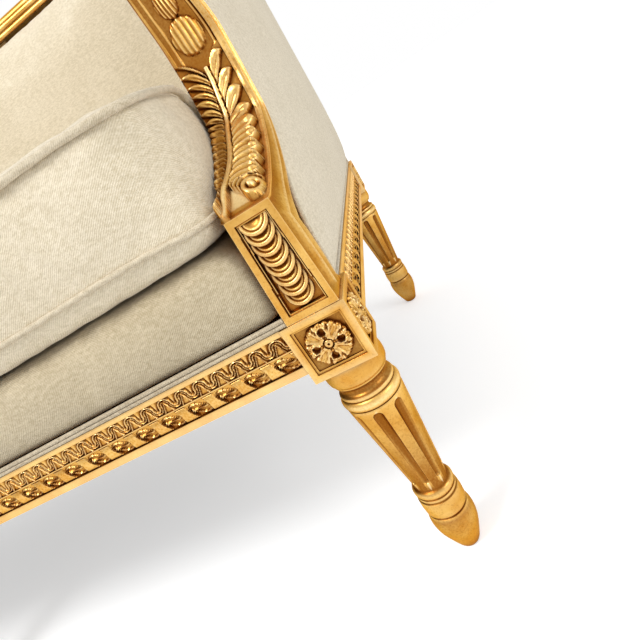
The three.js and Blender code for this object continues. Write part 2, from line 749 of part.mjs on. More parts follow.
// Strips lie in a plane of across and up; the place function sets them in the piece
function webbingGeometry(low, high, bottom, top_at, uprights, crossings, place) {
  const strip = (a0, a1, b0, b1, layer) => {
    const outline = [[a0, b0], [a1, b0], [a1, b1], [a0, b1]];
    const faces = [layer, layer + 1 + web_bite_share].map((deep) => deep * webbing_thickness);
    return solidOf(skin(faces.map((deep) => outline.map(([a, b]) => place(a, b, deep)))));
  };
  let web = null;
  const join = (piece) => {
    web = web ? web.add(piece) : piece;
  };
  for (let i = 0; i < uprights; i += 1) {
    const middle = THREE.MathUtils.lerp(low, high, (i + 0.5) / uprights);
    const top = Math.min(top_at(middle - webbing_width / 2), top_at(middle + webbing_width / 2));
    join(strip(middle - webbing_width / 2, middle + webbing_width / 2, bottom, top, 0));
  }
  const lowest_top = Math.min(top_at(low), top_at(high));
  crossings.forEach((share) => {
    const level = THREE.MathUtils.lerp(bottom, lowest_top, share);
    join(strip(low, high, level - webbing_width / 2, level + webbing_width / 2, 1));
  });
  return geometryOf(web);
}

const back_face_y = member_front_y - gap;
add('back_webbing', webbingGeometry(-post_inner_x - web_overlap, post_inner_x + web_overlap,
  tack_rail_top - web_overlap, (x) => crestTopOn(x) - crest_thickness - cloth_gap,
  back_web_uprights, back_web_crossing_shares,
  (x, z, deep) => new THREE.Vector3(x, back_face_y - deep + rakeAt(z), z)), jute());

[['right', 1, head_height], ['left', -1, foot_height]].forEach(([side, sign, end_height]) => {
  const low = front_y + arm_depth + cloth_gap;
  const high = member_front_y - web_space;
  const top_at = (y) => (
    Math.min(armTopOn(y, end_height), end_height - crest_thickness) - arm_rail_thickness - gap);
  const web = webbingGeometry(low, high, tack_rail_top - web_overlap, top_at,
    end_web_uprights, end_web_crossing_shares,
    (y, z, deep) => new THREE.Vector3(-(member_inner + gap + deep), y, z));
  seatOnSide(`end_webbing_${side}`, web, sign, jute());
});

// Pads and panels: rings drawn in from an outline towards a spine while they rise to a crown
const pad_rows_shares = [[0, 0], [0, 0.22], [0.07, 0.6], [0.22, 0.86], [0.5, 1]];
const panel_rows_shares = [[0, 0], [0, 0.72], [0.3, 1]];

function pillow(outline, spineOf, rows, place) {
  return skin(rows.map(([draw, rise]) => outline.map(([a, b]) => {
    const [sa, sb] = spineOf(a, b);
    return place(a + (sa - a) * draw, b + (sb - b) * draw, rise);
  })));
}

// Outline of an end in Y and Z: behind the arm support, under the arm rail, in front of a leaning rear edge
const end_front_steps = 10;
const end_stump_steps = 3;
const end_front_reach_share = 0.93;

function endOutline(end_height, bottom, rear_edge) {
  const stump = curveThrough(stump_back_shares.slice(0, -1));
  const sweep = curveThrough(console_back_shares);
  const edge = [];
  for (let k = 0; k <= end_front_steps; k += 1) {
    if (k < end_stump_steps) edge.push(stump.getPoint(k / end_stump_steps));
    edge.push(sweep.getPoint((k / end_front_steps) * end_front_reach_share));
  }
  const front = edge.filter((p) => p.z > bottom + cloth_gap).sort((p, q) => p.z - q.z)
    .map((p) => [p.y + cloth_gap, p.z]);
  const rear_level = end_height - crest_thickness - cloth_gap;
  const from = scroll_centre_y + scroll_radius + cloth_gap;
  const stations = stationsBetween(armStations(end_height), from, crest_front_y + rakeAt(rear_level) - gap);
  const top = stations.map((y) => (
    [y, Math.min(armTopOn(y, end_height) - arm_rail_thickness - cloth_gap, rear_level)]));
  const crossed = top.filter(([y]) => y < rear_edge(rear_level));
  return [[front[0][0], bottom], ...front, ...crossed,
    [rear_edge(rear_level), rear_level], [rear_edge(bottom), bottom]];
}

const end_spine_share = 0.56;
const endSpine = (bottom) => (
  [front_y + frame_depth * end_spine_share, (bottom + arm_top - arm_rail_thickness) / 2]);

const outside_rear = member_rear_y + cloth_gap + outside_panel_thickness;
const pad_base = member_inner + web_space;
[['right', 1, head_height], ['left', -1, foot_height]].forEach(([side, sign, end_height]) => {
  const outside = endOutline(end_height, seat_top + cloth_gap, (z) => outside_rear + rakeAt(z));
  const cover = pillow(outside, () => endSpine(seat_top), panel_rows_shares, (y, z, rise) => (
    new THREE.Vector3(-(outside_panel_setback + outside_panel_thickness - rise
      * (outside_panel_thickness + outside_panel_bulge)), y, z)));
  seatOnSide(`outside_end_${side}`, cover, sign, linen());
  const inside = endOutline(end_height, pad_bottom, (z) => member_front_y - web_space + rakeAt(z));
  const pad = pillow(inside, () => endSpine(pad_bottom), pad_rows_shares, (y, z, rise) => (
    new THREE.Vector3(-(pad_base + rise * end_pad_crown), y, z)));
  seatOnSide(`inside_end_pad_${side}`, pad, sign, linen());
});

// The back panel and pad follow the crest
const back_foot_steps = 11;
const back_spine_share = 0.6;

function backOutline(reach, bottom) {
  const top = stationsBetween(crest_stations, -reach, reach).reverse()
    .map((x) => [x, crestTopOn(x) - crest_thickness - cloth_gap]);
  return [...top, ...evenly(-reach, reach, back_foot_steps).map((x) => [x, bottom])];
}

function backSpine(reach, bottom) {
  return (x) => {
    const kept = Math.max(-reach * back_spine_share, Math.min(reach * back_spine_share, x));
    return [kept, (bottom + crestTopAt(kept) - crest_thickness) / 2];
  };
}

const outside_back_reach = half_length - member_outer;
const outside_back_y = member_rear_y + cloth_gap;
add('outside_back', pillow(backOutline(outside_back_reach, seat_top + cloth_gap),
  backSpine(outside_back_reach, seat_top), panel_rows_shares, (x, z, rise) => (
    new THREE.Vector3(x, outside_back_y + rise * outside_panel_thickness + rakeAt(z), z))), linen());
const back_pad_reach = half_length - pad_base - end_pad_crown - cloth_gap;
add('inside_back_pad', pillow(backOutline(back_pad_reach, pad_bottom), backSpine(back_pad_reach, pad_bottom),
  pad_rows_shares, (x, z, rise) => (
    new THREE.Vector3(x, member_front_y - web_space - rise * back_pad_crown + rakeAt(z), z))), linen());

// Stuffed seat deck on the springs, with a soft rolled front edge above the gimp
const deck_side_setback = 54;
const deck_front_setback = 4.5;
const deck_bottom = seat_top + 2 * gap + 2 * spring_wire_radius;
const deck_corner_radius = 16;
const corner_steps = 3;
const deck_shoulder_width = 60;
// Rows are shares of the shoulder's width, drawn in from the edge, and of the deck's height
const deck_row_shares = [[0, 0], [-0.04, 0.3], [-0.04, 0.55], [0.1, 0.86], [0.4, 0.98], [1, 1]];

function roundedPlan(x0, x1, y0, y1, radius) {
  const corners = [[x1 - radius, y0 + radius, -0.5], [x1 - radius, y1 - radius, 0],
    [x0 + radius, y1 - radius, 0.5], [x0 + radius, y0 + radius, 1]];
  return corners.flatMap(([x, y, turn]) => Array.from({ length: corner_steps + 1 }, (_, k) => {
    const angle = Math.PI * (turn + k / (2 * corner_steps));
    return [x + radius * Math.cos(angle), y + radius * Math.sin(angle)];
  }));
}

// A plan drawn in towards its middle by a distance, at a level
function drawnIn(plan, draw, z) {
  const xs = plan.map(([x]) => x);
  const ys = plan.map(([, y]) => y);
  const middle = [(Math.max(...xs) + Math.min(...xs)) / 2, (Math.max(...ys) + Math.min(...ys)) / 2];
  const half = [(Math.max(...xs) - Math.min(...xs)) / 2, (Math.max(...ys) - Math.min(...ys)) / 2];
  return plan.map(([x, y]) => new THREE.Vector3(
    middle[0] + (x - middle[0]) * (1 - draw / half[0]),
    middle[1] + (y - middle[1]) * (1 - draw / half[1]), z));
}

const stackedPlan = (rows) => skin(rows.map(([plan, draw, z]) => drawnIn(plan, draw, z)));

const deck_plan = roundedPlan(-half_length + deck_side_setback, half_length - deck_side_setback,
  front_y + deck_front_setback, member_front_y - web_space - cloth_gap, deck_corner_radius);
add('seat_deck', stackedPlan(deck_row_shares.map(([draw, share]) => (
  [deck_plan, draw * deck_shoulder_width, THREE.MathUtils.lerp(deck_bottom, deck_height, share)]))), linen());

// Gimp along the foot of the deck
const gimp_height = 8.5;
const gimp_setback = 0.8;
const gimp_thickness = 2.8;
const gimp_reach = half_length - stump_foot_inner_setback - gap;
const gimp_y = front_y + gimp_setback;
add('front_gimp', box(-gimp_reach, gimp_reach, gimp_y, gimp_y + gimp_thickness,
  seat_top + gap, seat_top + gap + gimp_height), linen());

// Loose seat cushion: boxed between two seams, domed on top, with ears in front of the end pads.
// The ears reach back as far as the console leaves room at each level.
const cushion_ear_setback = 54.5;
const cushion_ear_slope_length = 34;
const cushion_ear_clearance = 3;
const cushion_front_setback = 6;
const cushion_waist = 3;
const cushion_side = pad_base + end_pad_crown + cushion_gap + cushion_waist;
const cushion_rear = member_front_y - web_space - back_pad_crown - cushion_gap - cushion_waist;
const cushion_corner_radius = 26;
const cushion_corner_steps = 5;
const cushion_underside = 26;
const cushion_boxing = 87;
const cushion_bottom = deck_height + gap;
const cushion_shoulder_width = 170;
const console_samples = 60;
// Rows are shares of the shoulder's width, drawn in from the edge, and of the underside's roll,
// then of the boxing and of the crown
const cushion_underside_shares = [[0.35, 0], [0.12, 0.12], [0.045, 0.4], [0.01, 0.75], [0, 1]];
const cushion_boxing_shares = [[-0.8, 0.2], [-1, 0.5], [-0.8, 0.8]];
const cushion_crown_shares = [[0, 0], [0.02, 0.12], [0.1, 0.4], [0.24, 0.66], [0.5, 0.88], [1, 1]];

// How far back the console lets the ear reach at a level
function earRearAt(z) {
  const points = curveThrough(console_back_shares).getPoints(console_samples);
  const next = points.findIndex((point) => point.z > z);
  const [below, above] = [points[Math.max(0, next - 1)], points[next]];
  return THREE.MathUtils.mapLinear(z, below.z, above.z, below.y, above.y) - cushion_ear_clearance;
}

function quarterTurn(x, y, radius, start) {
  return evenly(start, start + Math.PI / 2, cushion_corner_steps).map((angle) => (
    [x + radius * Math.cos(angle), y + radius * Math.sin(angle)]));
}

function cushionPlanAt(z) {
  const ear = half_length - cushion_ear_setback - cushion_waist;
  const side = half_length - cushion_side;
  const radius = cushion_corner_radius;
  const right = [
    ...quarterTurn(ear - radius, front_y + cushion_front_setback + radius, radius, -Math.PI / 2),
    [ear, earRearAt(z)], [side, earRearAt(z) + cushion_ear_slope_length],
    ...quarterTurn(side - radius, cushion_rear - radius, radius, 0),
  ];
  return [...right, ...right.map(([x, y]) => [-x, y]).reverse()];
}

const cushionRow = (draw, z) => [cushionPlanAt(z), draw, z];
const low_seam = cushion_bottom + cushion_underside;
const high_seam = low_seam + cushion_boxing;
add('seat_cushion', stackedPlan([
  ...cushion_underside_shares.map(([draw, rise]) => (
    cushionRow(draw * cushion_shoulder_width, cushion_bottom + rise * cushion_underside))),
  ...cushion_boxing_shares.map(([draw, rise]) => (
    cushionRow(draw * cushion_waist, low_seam + rise * cushion_boxing))),
  ...cushion_crown_shares.map(([draw, rise]) => (
    cushionRow(draw * cushion_shoulder_width, high_seam + rise * cushion_crown))),
]), linen());

export default recamier;
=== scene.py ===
"""Récamier in carved and gilded beech with pale linen upholstery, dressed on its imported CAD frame.

Pieces are modelled in millimetres, in the frame's own axes, and turned to metres when they are finished.
X runs along the seat, Y from the front to the back, Z up from the floor.
"""
import math

import bpy
from mathutils import Matrix, Vector


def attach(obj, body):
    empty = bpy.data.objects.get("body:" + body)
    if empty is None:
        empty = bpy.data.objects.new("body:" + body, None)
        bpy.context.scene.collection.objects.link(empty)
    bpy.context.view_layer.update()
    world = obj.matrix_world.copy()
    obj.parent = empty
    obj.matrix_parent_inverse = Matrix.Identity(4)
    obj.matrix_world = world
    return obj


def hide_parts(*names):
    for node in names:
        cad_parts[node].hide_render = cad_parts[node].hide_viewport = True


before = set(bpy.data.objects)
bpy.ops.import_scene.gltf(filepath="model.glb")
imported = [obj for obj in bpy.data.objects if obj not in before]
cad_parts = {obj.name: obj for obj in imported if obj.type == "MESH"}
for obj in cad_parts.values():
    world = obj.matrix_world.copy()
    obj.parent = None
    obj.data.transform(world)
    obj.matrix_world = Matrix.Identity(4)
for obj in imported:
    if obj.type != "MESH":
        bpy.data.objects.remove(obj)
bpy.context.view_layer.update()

MM = 0.001

# Sizes of the frame, as the CAD has them
overall_length = 1680
frame_depth = 690
leg_height = 262
block_size = 60
block_height = 58
rail_rise = 11
rail_setback = 2.4
side_rail_setback = 4
front_rail_thickness = 40
rear_rail_thickness = 48
arm_height_above_seat = 342
arm_reach = 180
arm_rail_width = 46
arm_rail_thickness = 30
arm_setback = 5
scroll_radius = 30
head_height = 880
foot_height = 704
back_rake = 40
crest_depth = 46
crest_thickness = 34
deck_height = 400
pad_bottom = 403
end_pad_crown = 30
back_pad_crown = 42
gap = 0.3

# Places worked out from the sizes
half_length = overall_length / 2
seat_top = leg_height + block_height
rake_slope = back_rake / (head_height - seat_top)
crest_overhang = rake_slope * (head_height - crest_thickness - seat_top) - rail_setback
front_y = -(frame_depth + crest_overhang) / 2
rear_y = front_y + frame_depth
arm_top = seat_top + arm_height_above_seat
corner_x = half_length - block_size / 2
front_row_y = front_y + block_size / 2
rear_row_y = rear_y - block_size / 2
scroll_centre_y = front_y + arm_reach - scroll_radius
crest_front_y = rear_y - crest_depth - rail_setback


def smooth(t):
    c = min(1, max(0, t))
    return c * c * (3 - 2 * c)


def between(a, b, t):
    return a + (b - a) * t


def rake(z):
    """How far the back leans away at a height."""
    return max(0, z - seat_top) * rake_slope


def crest_top(x):
    """Height of the crest, which falls in one sweep from the head to the foot."""
    return foot_height + (head_height - foot_height) * smooth((x / overall_length + 0.06) / 0.5 + 0.5)


def arm_top_at(y, end_height):
    """Height of an arm rail: level behind the scroll, then climbing to the crest."""
    t = (y - scroll_centre_y) / (crest_front_y + rake(end_height) - scroll_centre_y)
    return arm_top + (end_height - arm_top) * smooth((t - 0.12) / 0.88)


def through(points, t):
    """A point on a smooth curve through points, with t from 0 to 1."""
    last = len(points) - 1
    k = min(int(t * last), last - 1)
    w = t * last - k
    here, there = points[k], points[k + 1]
    before = points[k - 1] if k else here * 2 - there
    after = points[k + 2] if k + 2 <= last else there * 2 - here
    leave, arrive = (there - before) / 2, (after - here) / 2
    bend = (there - here) * 3 - leave * 2 - arrive
    return here + leave * w + bend * w ** 2 + ((here - there) * 2 + leave + arrive) * w ** 3


def lobe(x):
    """A round bump, 1 high at 0 and 0 from 1 on."""
    return max(0, 1 - x * x)


# Modelling steps that every piece uses


def fresh():
    """Leaves edit mode with nothing selected."""
    if bpy.context.object and bpy.context.object.mode != "OBJECT":
        bpy.ops.object.mode_set(mode="OBJECT")
    bpy.ops.object.select_all(action="DESELECT")


def take(piece):
    """Selects one piece alone."""
    fresh()
    piece.select_set(True)
    bpy.context.view_layer.objects.active = piece
    return piece


def editing(piece):
    take(piece)
    bpy.context.tool_settings.mesh_select_mode = (False, False, True)
    bpy.ops.object.mode_set(mode="EDIT")


def pick(piece, wanted):
    """In edit mode, selects the faces whose middle and normal pass the test."""
    bpy.ops.object.mode_set(mode="OBJECT")
    for thing in (*piece.data.vertices, *piece.data.edges):
        thing.select = False
    for face in piece.data.polygons:
        face.select = wanted(face.center, face.normal)
    bpy.ops.object.mode_set(mode="EDIT")


def apply_modifier(piece, kind, **settings):
    take(piece)
    modifier = piece.modifiers.new(kind.title(), kind)
    for name, value in settings.items():
        setattr(modifier, name, value)
    bpy.ops.object.modifier_apply(modifier=modifier.name)


def lofted(name, rows, closed=True):
    """A grid laid through rows of points. A closed one is joined round and capped at both ends.

    A fourth number on each point is its wax with painted shade and highlight, the same layer that a whole
    piece is given in the next function.
    """
    if closed:
        rows = [row + row[:1] for row in rows]
    fresh()
    bpy.ops.mesh.primitive_grid_add(x_subdivisions=len(rows[0]) - 1, y_subdivisions=len(rows) - 1)
    piece = bpy.context.object
    piece.name = name
    piece.data.vertices.foreach_set("co", [c for row in rows for point in row for c in point[:3]])
    if len(rows[0][0]) == 4:
        layer = piece.data.attributes.new("wax_and_painted_light", "FLOAT", "POINT")
        layer.data.foreach_set("value", [point[3] for row in rows for point in row])
    if closed:
        editing(piece)
        bpy.ops.mesh.select_all(action="SELECT")
        bpy.ops.mesh.remove_doubles(threshold=0.01)
        bpy.ops.mesh.fill_holes(sides=0)
        bpy.ops.mesh.normals_make_consistent(inside=False)
    fresh()
    return piece


def given_wax_and_painted_light(piece, wax_and_painted_light_at):
    """Notes at each point its wax and painted light: 1 is brown wax with painted shade in a hollow, -1 is
    rubbed bright with a painted highlight.
    """
    layer = piece.data.attributes.new("wax_and_painted_light", "FLOAT", "POINT")
    layer.data.foreach_set("value", [min(1, max(-1, wax_and_painted_light_at(vertex.co))) for vertex in piece.data.vertices])
    return piece


def facing(piece, direction):
    """Turns an open sheet's faces to look along a direction."""
    total = sum((face.normal * face.area for face in piece.data.polygons), Vector())
    if total.dot(direction) < 0:
        piece.data.flip_normals()
    return piece


def turned(name, profile, sides=96):
    """Turns a profile of (height, radius) pairs about Z, ring by ring from the bottom."""
    fresh()
    z, radius = profile[0]
    bpy.ops.mesh.primitive_circle_add(vertices=sides, radius=radius, fill_type="NGON", location=(0, 0, z))
    piece = bpy.context.object
    piece.name = name
    bpy.ops.object.transform_apply()
    editing(piece)
    bpy.ops.mesh.select_all(action="SELECT")
    for next_z, next_radius in profile[1:]:
        bpy.ops.mesh.extrude_region_move(TRANSFORM_OT_translate={"value": (0, 0, next_z - z)})
        scale = next_radius / radius
        bpy.ops.transform.resize(value=(scale, scale, 1), center_override=(0, 0, next_z))
        z, radius = next_z, next_radius
    bpy.ops.mesh.select_all(action="SELECT")
    bpy.ops.mesh.normals_make_consistent(inside=False)
    fresh()
    return piece


def swept(name, path, radius, closed=False):
    """A round cord, welt or bead along a path of points."""
    curve = bpy.data.curves.new(name, "CURVE")
    curve.dimensions = "3D"
    curve.bevel_depth = radius
    curve.bevel_resolution = 2
    curve.use_fill_caps = not closed
    spline = curve.splines.new("POLY")
    spline.points.add(len(path) - 1)
    for point, place in zip(spline.points, path):
        point.co = (*place, 1)
    spline.use_cyclic_u = closed
    piece = bpy.data.objects.new(name, curve)
    bpy.context.scene.collection.objects.link(piece)
    take(piece)
    bpy.ops.object.convert(target="MESH")
    return bpy.context.object


def copied(piece, name, matrix):
    """A copy with its own mesh, moved by a matrix. A mirrored copy has its faces turned back out."""
    copy = piece.copy()
    copy.data = piece.data.copy()
    copy.name = name
    bpy.context.scene.collection.objects.link(copy)
    copy.data.transform(matrix)
    if matrix.determinant() < 0:
        copy.data.flip_normals()
    return copy


def joined(name, pieces):
    fresh()
    for piece in pieces:
        piece.select_set(True)
    bpy.context.view_layer.objects.active = pieces[0]
    if len(pieces) > 1:
        bpy.ops.object.join()
    pieces[0].name = name
    return pieces[0]


def finished(piece, finish, body="frame", stands_for=(), angle=38):
    """Puts the piece in metres, gives it its finish and hangs it on its body."""
    take(piece)
    bpy.ops.object.transform_apply()
    piece.data.transform(Matrix.Scale(MM, 4))
    return dressed(piece, finish, body, stands_for, angle)


def dressed(piece, finish, body="frame", stands_for=(), angle=38):
    take(piece)
    piece.data.materials.clear()
    piece.data.materials.append(finish)
    bpy.ops.object.shade_smooth_by_angle(angle=math.radians(angle))
    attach(piece, body)
    if stands_for:
        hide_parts(*stands_for)
    return piece


# Finishes


def linear(code):
    """An sRGB hex colour as the linear values that shaders take."""
    parts = [int(code[i:i + 2], 16) / 255 for i in (0, 2, 4)]
    return [c / 12.92 if c <= 0.04045 else ((c + 0.055) / 1.055) ** 2.4 for c in parts] + [1]


def feed(tree, node, inputs):
    """Gives a node its inputs. Each is a value for the node's own socket, or another node's output."""
    for name, value in inputs.items():
        if isinstance(value, bpy.types.NodeSocket):
            tree.links.new(value, node.inputs[name])
        else:
            node.inputs[name].default_value = value


def add(tree, kind, inputs=None, out=0, **settings):
    """Adds a node with its settings and links, and gives one output of it, or the node where out is None."""
    node = tree.nodes.new("ShaderNode" + kind)
    for name, value in settings.items():
        setattr(node, name, value)
    feed(tree, node, inputs or {})
    return node if out is None else node.outputs[out]


def new_finish(name):
    material = bpy.data.materials.new(name)
    material.use_nodes = True
    tree = material.node_tree
    return material, tree, tree.nodes["Principled BSDF"]


def gilt_wood():
    """Gold leaf on carved beech: burnished and given painted highlights on the high places, brown bole and
    old wax with painted shade in the hollows.
    """
    material, tree, shader = new_finish("water_gilded_beech")
    place = add(tree, "TexCoord", out="Object")
    # Leaf is never one even tone: cloudy patches about 30 mm across and small rubbed flecks of 2 mm
    clouds = add(tree, "TexNoise", {"Vector": place, "Scale": 1 / 0.03, "Detail": 3})
    flecks = add(tree, "TexNoise", {"Vector": place, "Scale": 1 / 0.002, "Detail": 4})
    # Painted shade from occlusion, which also stands for toning wax, darkens broad hollows within about 15 mm
    # of a wall, and lies thick in the cuts within 4 mm
    wide = add(tree, "AmbientOcclusion", {"Distance": 0.016}, "AO", samples=8)
    streaked_shade_in_cuts = add(tree, "AmbientOcclusion", {"Distance": 0.004}, "AO", samples=8)
    # The wax with painted shade and highlight that each piece carries by its carving. The flecks streak it,
    # and the painted shade in the cuts too.
    wax_and_painted_light = add(tree, "Attribute", out="Fac", attribute_name="wax_and_painted_light")
    streak = add(tree, "MapRange", {0: flecks, 1: 0.3, 2: 0.7, 3: -0.12, 4: 0.12})
    wax_and_painted_light = add(tree, "Math", {0: wax_and_painted_light, 1: streak}, operation="ADD")
    streak = add(tree, "MapRange", {0: flecks, 1: 0.3, 2: 0.7, 3: -0.08, 4: 0.08})
    streaked_shade_in_cuts = add(tree, "Math", {0: streaked_shade_in_cuts, 1: streak}, operation="ADD")
    # Edges and crests get a paler, brighter gold as a painted highlight, and creases are darker
    edge = add(tree, "NewGeometry", out="Pointiness")
    # Each layer lies over the last: what it follows, from where to where, its shares there, and its tone
    # The occlusion layers and the brown wax layer are painted shade; the pale wax layer and the pale edge
    # layer are painted highlights
    layers = [
        (clouds, 0.35, 0.65, 0, 1, "DBAF60"), (flecks, 0.54, 0.75, 0, 0.45, "A06A28"),
        (wide, 0.3, 0.95, 1, 0, "92581C"), (wax_and_painted_light, 0.1, 1, 0, 0.92, "874D12"),
        (wax_and_painted_light, -1, -0.15, 0.85, 0, "FFEBB4"), (streaked_shade_in_cuts, 0.22, 0.8, 1, 0, "56290A"),
        (edge, 0.52, 0.60, 0, 0.5, "FFE9B4"), (edge, 0.40, 0.48, 0.6, 0, "5A300C"),
    ]
    gold = linear("C48D3C")
    for value, low, high, at_low, at_high, tone in layers:
        share = add(tree, "MapRange", {0: value, 1: low, 2: high, 3: at_low, 4: at_high})
        gold = add(tree, "Mix", {0: share, 6: gold, 7: linear(tone)}, 2, data_type="RGBA")
    matt = add(tree, "MapRange", {0: flecks, 1: 0.3, 2: 0.7, 3: 0, 4: 0.3})
    matt = add(tree, "Math", {0: clouds, 1: matt}, operation="ADD")
    rough = add(tree, "MapRange", {0: matt, 1: 0.3, 2: 1, 3: 0.24, 4: 0.42})
    relief = add(tree, "Bump", {"Strength": 0.25, "Distance": 0.0004, "Height": flecks})
    feed(tree, shader, {"Base Color": gold, "Metallic": 0.86, "Specular Tint": linear("F5C878"),
                        "Roughness": rough, "Normal": relief})
    return material


wale_slant = math.radians(38)


def waves_at(pitch):
    """Scale of a wave texture for a pitch in metres. At a scale of 1 it has 20 / (2 pi) waves to a metre."""
    return 2 * math.pi / 20 / pitch


def linen(name, light, dark, pitch=0.0016):
    """Linen in a fine broken twill. Real threads are half as wide; they are drawn coarse enough to show."""
    material, tree, shader = new_finish(name)
    place = add(tree, "TexCoord", out="Object")
    # Wales run slantwise over each wall, and slubs drawn out along them break the lines up
    wales = []
    for axis, turn in (("Z", (wale_slant, 0, 0)), ("Z", (0, wale_slant, 0)), ("Y", (0, 0, wale_slant))):
        slanted = add(tree, "Mapping", {"Vector": place, "Rotation": turn})
        wales.append(add(tree, "TexWave", {
            "Vector": slanted, "Scale": waves_at(pitch), "Distortion": 2.2, "Detail": 2, "Detail Scale": 1.5},
            1, bands_direction=axis))
    stretch = add(tree, "Mapping", {"Vector": place, "Scale": (160, 160, 420)})
    slubs = add(tree, "TexNoise", {"Vector": stretch, "Scale": 1, "Detail": 3})
    nap = add(tree, "TexNoise", {"Vector": place, "Scale": 1 / pitch, "Detail": 2})
    # Each wall shows the wales that lie in its plane
    normal = add(tree, "SeparateXYZ", {0: add(tree, "TexCoord", out="Normal")}, None)
    weave = 0
    for across in range(3):
        share = add(tree, "Math", {0: normal.outputs[across]}, operation="ABSOLUTE")
        share = add(tree, "Math", {0: share, 1: 2}, operation="POWER")
        share = add(tree, "Math", {0: share, 1: wales[across]}, operation="MULTIPLY")
        weave = add(tree, "Math", {0: weave, 1: share}, operation="ADD")
    clouds = add(tree, "TexNoise", {"Vector": place, "Scale": 1 / 0.06, "Detail": 2})
    # What lightens and darkens the cloth: from where to where, and by how much
    tones = ((weave, 0, 1, 0.2, 0.8), (slubs, 0.3, 0.7, -0.3, 0.3), (nap, 0.3, 0.7, -0.25, 0.25),
             (clouds, 0.3, 0.7, -0.1, 0.1))
    level = 0
    for value, low, high, at_low, at_high in tones:
        tone = add(tree, "MapRange", {0: value, 1: low, 2: high, 3: at_low, 4: at_high})
        level = add(tree, "Math", {0: level, 1: tone}, operation="ADD")
    level = add(tree, "MapRange", {0: level})
    colour = add(tree, "Mix", {0: level, 6: linear(dark), 7: linear(light)}, 2, data_type="RGBA")
    fluff = add(tree, "Math", {0: nap, 1: 0.5}, operation="MULTIPLY")
    height = add(tree, "Math", {0: weave, 1: fluff}, operation="ADD")
    relief = add(tree, "Bump", {"Strength": 0.45, "Distance": 0.0006, "Height": height})
    feed(tree, shader, {"Base Color": colour, "Roughness": 0.9, "Sheen Weight": 0.25, "Sheen Roughness": 0.5,
                        "Normal": relief})
    return material


def grained(name, along):
    """Plain sawn timber, matt and pale: growth rings about 3 mm apart drawn out along the piece."""
    material, tree, shader = new_finish(name)
    place = add(tree, "TexCoord", out="Object")
    drawn = add(tree, "Mapping", {
        "Vector": place, "Scale": [18 if axis == along else 1 / 0.003 for axis in "XYZ"]})
    rings = add(tree, "TexNoise", {"Vector": drawn, "Scale": 1, "Detail": 5})
    share = add(tree, "MapRange", {0: rings, 1: 0.35, 2: 0.7})
    colour = add(tree, "Mix", {0: share, 6: linear("CBA374"), 7: linear("A87C4E")}, 2, data_type="RGBA")
    relief = add(tree, "Bump", {"Strength": 0.2, "Distance": 0.0003, "Height": rings})
    feed(tree, shader, {"Base Color": colour, "Roughness": 0.7, "Normal": relief})
    return material


def woven_strip(name, pale, dark, pitch):
    """Coarse plain weave for webbing and the cloth under the seat, without any shine."""
    material, tree, shader = new_finish(name)
    place = add(tree, "TexCoord", out="Object")
    bands = [add(tree, "TexWave", {"Vector": place, "Scale": waves_at(pitch), "Distortion": 1.5, "Detail": 1},
                 1, bands_direction=axis) for axis in "XYZ"]
    both = add(tree, "Math", {0: bands[0], 1: bands[1]}, operation="ADD")
    weave = add(tree, "Math", {0: both, 1: bands[2]}, operation="MULTIPLY")
    share = add(tree, "MapRange", {0: weave, 1: 0, 2: 1.2})
    colour = add(tree, "Mix", {0: share, 6: linear(dark), 7: linear(pale)}, 2, data_type="RGBA")
    relief = add(tree, "Bump", {"Strength": 0.4, "Distance": 0.0005, "Height": weave})
    feed(tree, shader, {"Base Color": colour, "Roughness": 0.95, "Normal": relief})
    return material


def drawn_steel():
    """Oiled spring wire: grey, with fine drawing lines."""
    material, tree, shader = new_finish("drawn_spring_steel")
    place = add(tree, "TexCoord", out="Object")
    lines = add(tree, "TexNoise", {"Vector": place, "Scale": 1 / 0.001, "Detail": 3})
    colour = add(tree, "Mix", {0: lines, 6: linear("5E6266"), 7: linear("8E9296")}, 2, data_type="RGBA")
    rough = add(tree, "MapRange", {0: lines, 1: 0.2, 2: 0.8, 3: 0.3, 4: 0.5})
    feed(tree, shader, {"Base Color": colour, "Metallic": 1, "Roughness": rough})
    return material


gilding = gilt_wood()
# The cover's copy of the linen is painted a shade lighter than the deck's, as lit cloth
cover_cloth = linen("twilled_linen_cover", "ECE0C8", "C9BB9D")
# Same cloth on the deck, painted darker as the shade under the cushion
deck_cloth_in_painted_shade = linen("linen_deck_in_painted_shade", "CDBFA2", "A69676")
welt_cloth = linen("linen_bias_welt", "E2D5BC", "B8A98C", pitch=0.0013)
gimp_cloth = linen("linen_double_welt", "D3C4A8", "9D8C70", pitch=0.0012)
bare_beech = grained("sawn_beech", "X")
upright_beech = grained("sawn_beech_upright", "Z")
deep_beech = grained("sawn_beech_deep", "Y")
spring_wire = drawn_steel()
jute_web = woven_strip("jute_webbing_weave", "B4935F", "6E5430", 0.003)
black_cambric = woven_strip("black_cambric", "35322E", "1B1917", 0.0015)

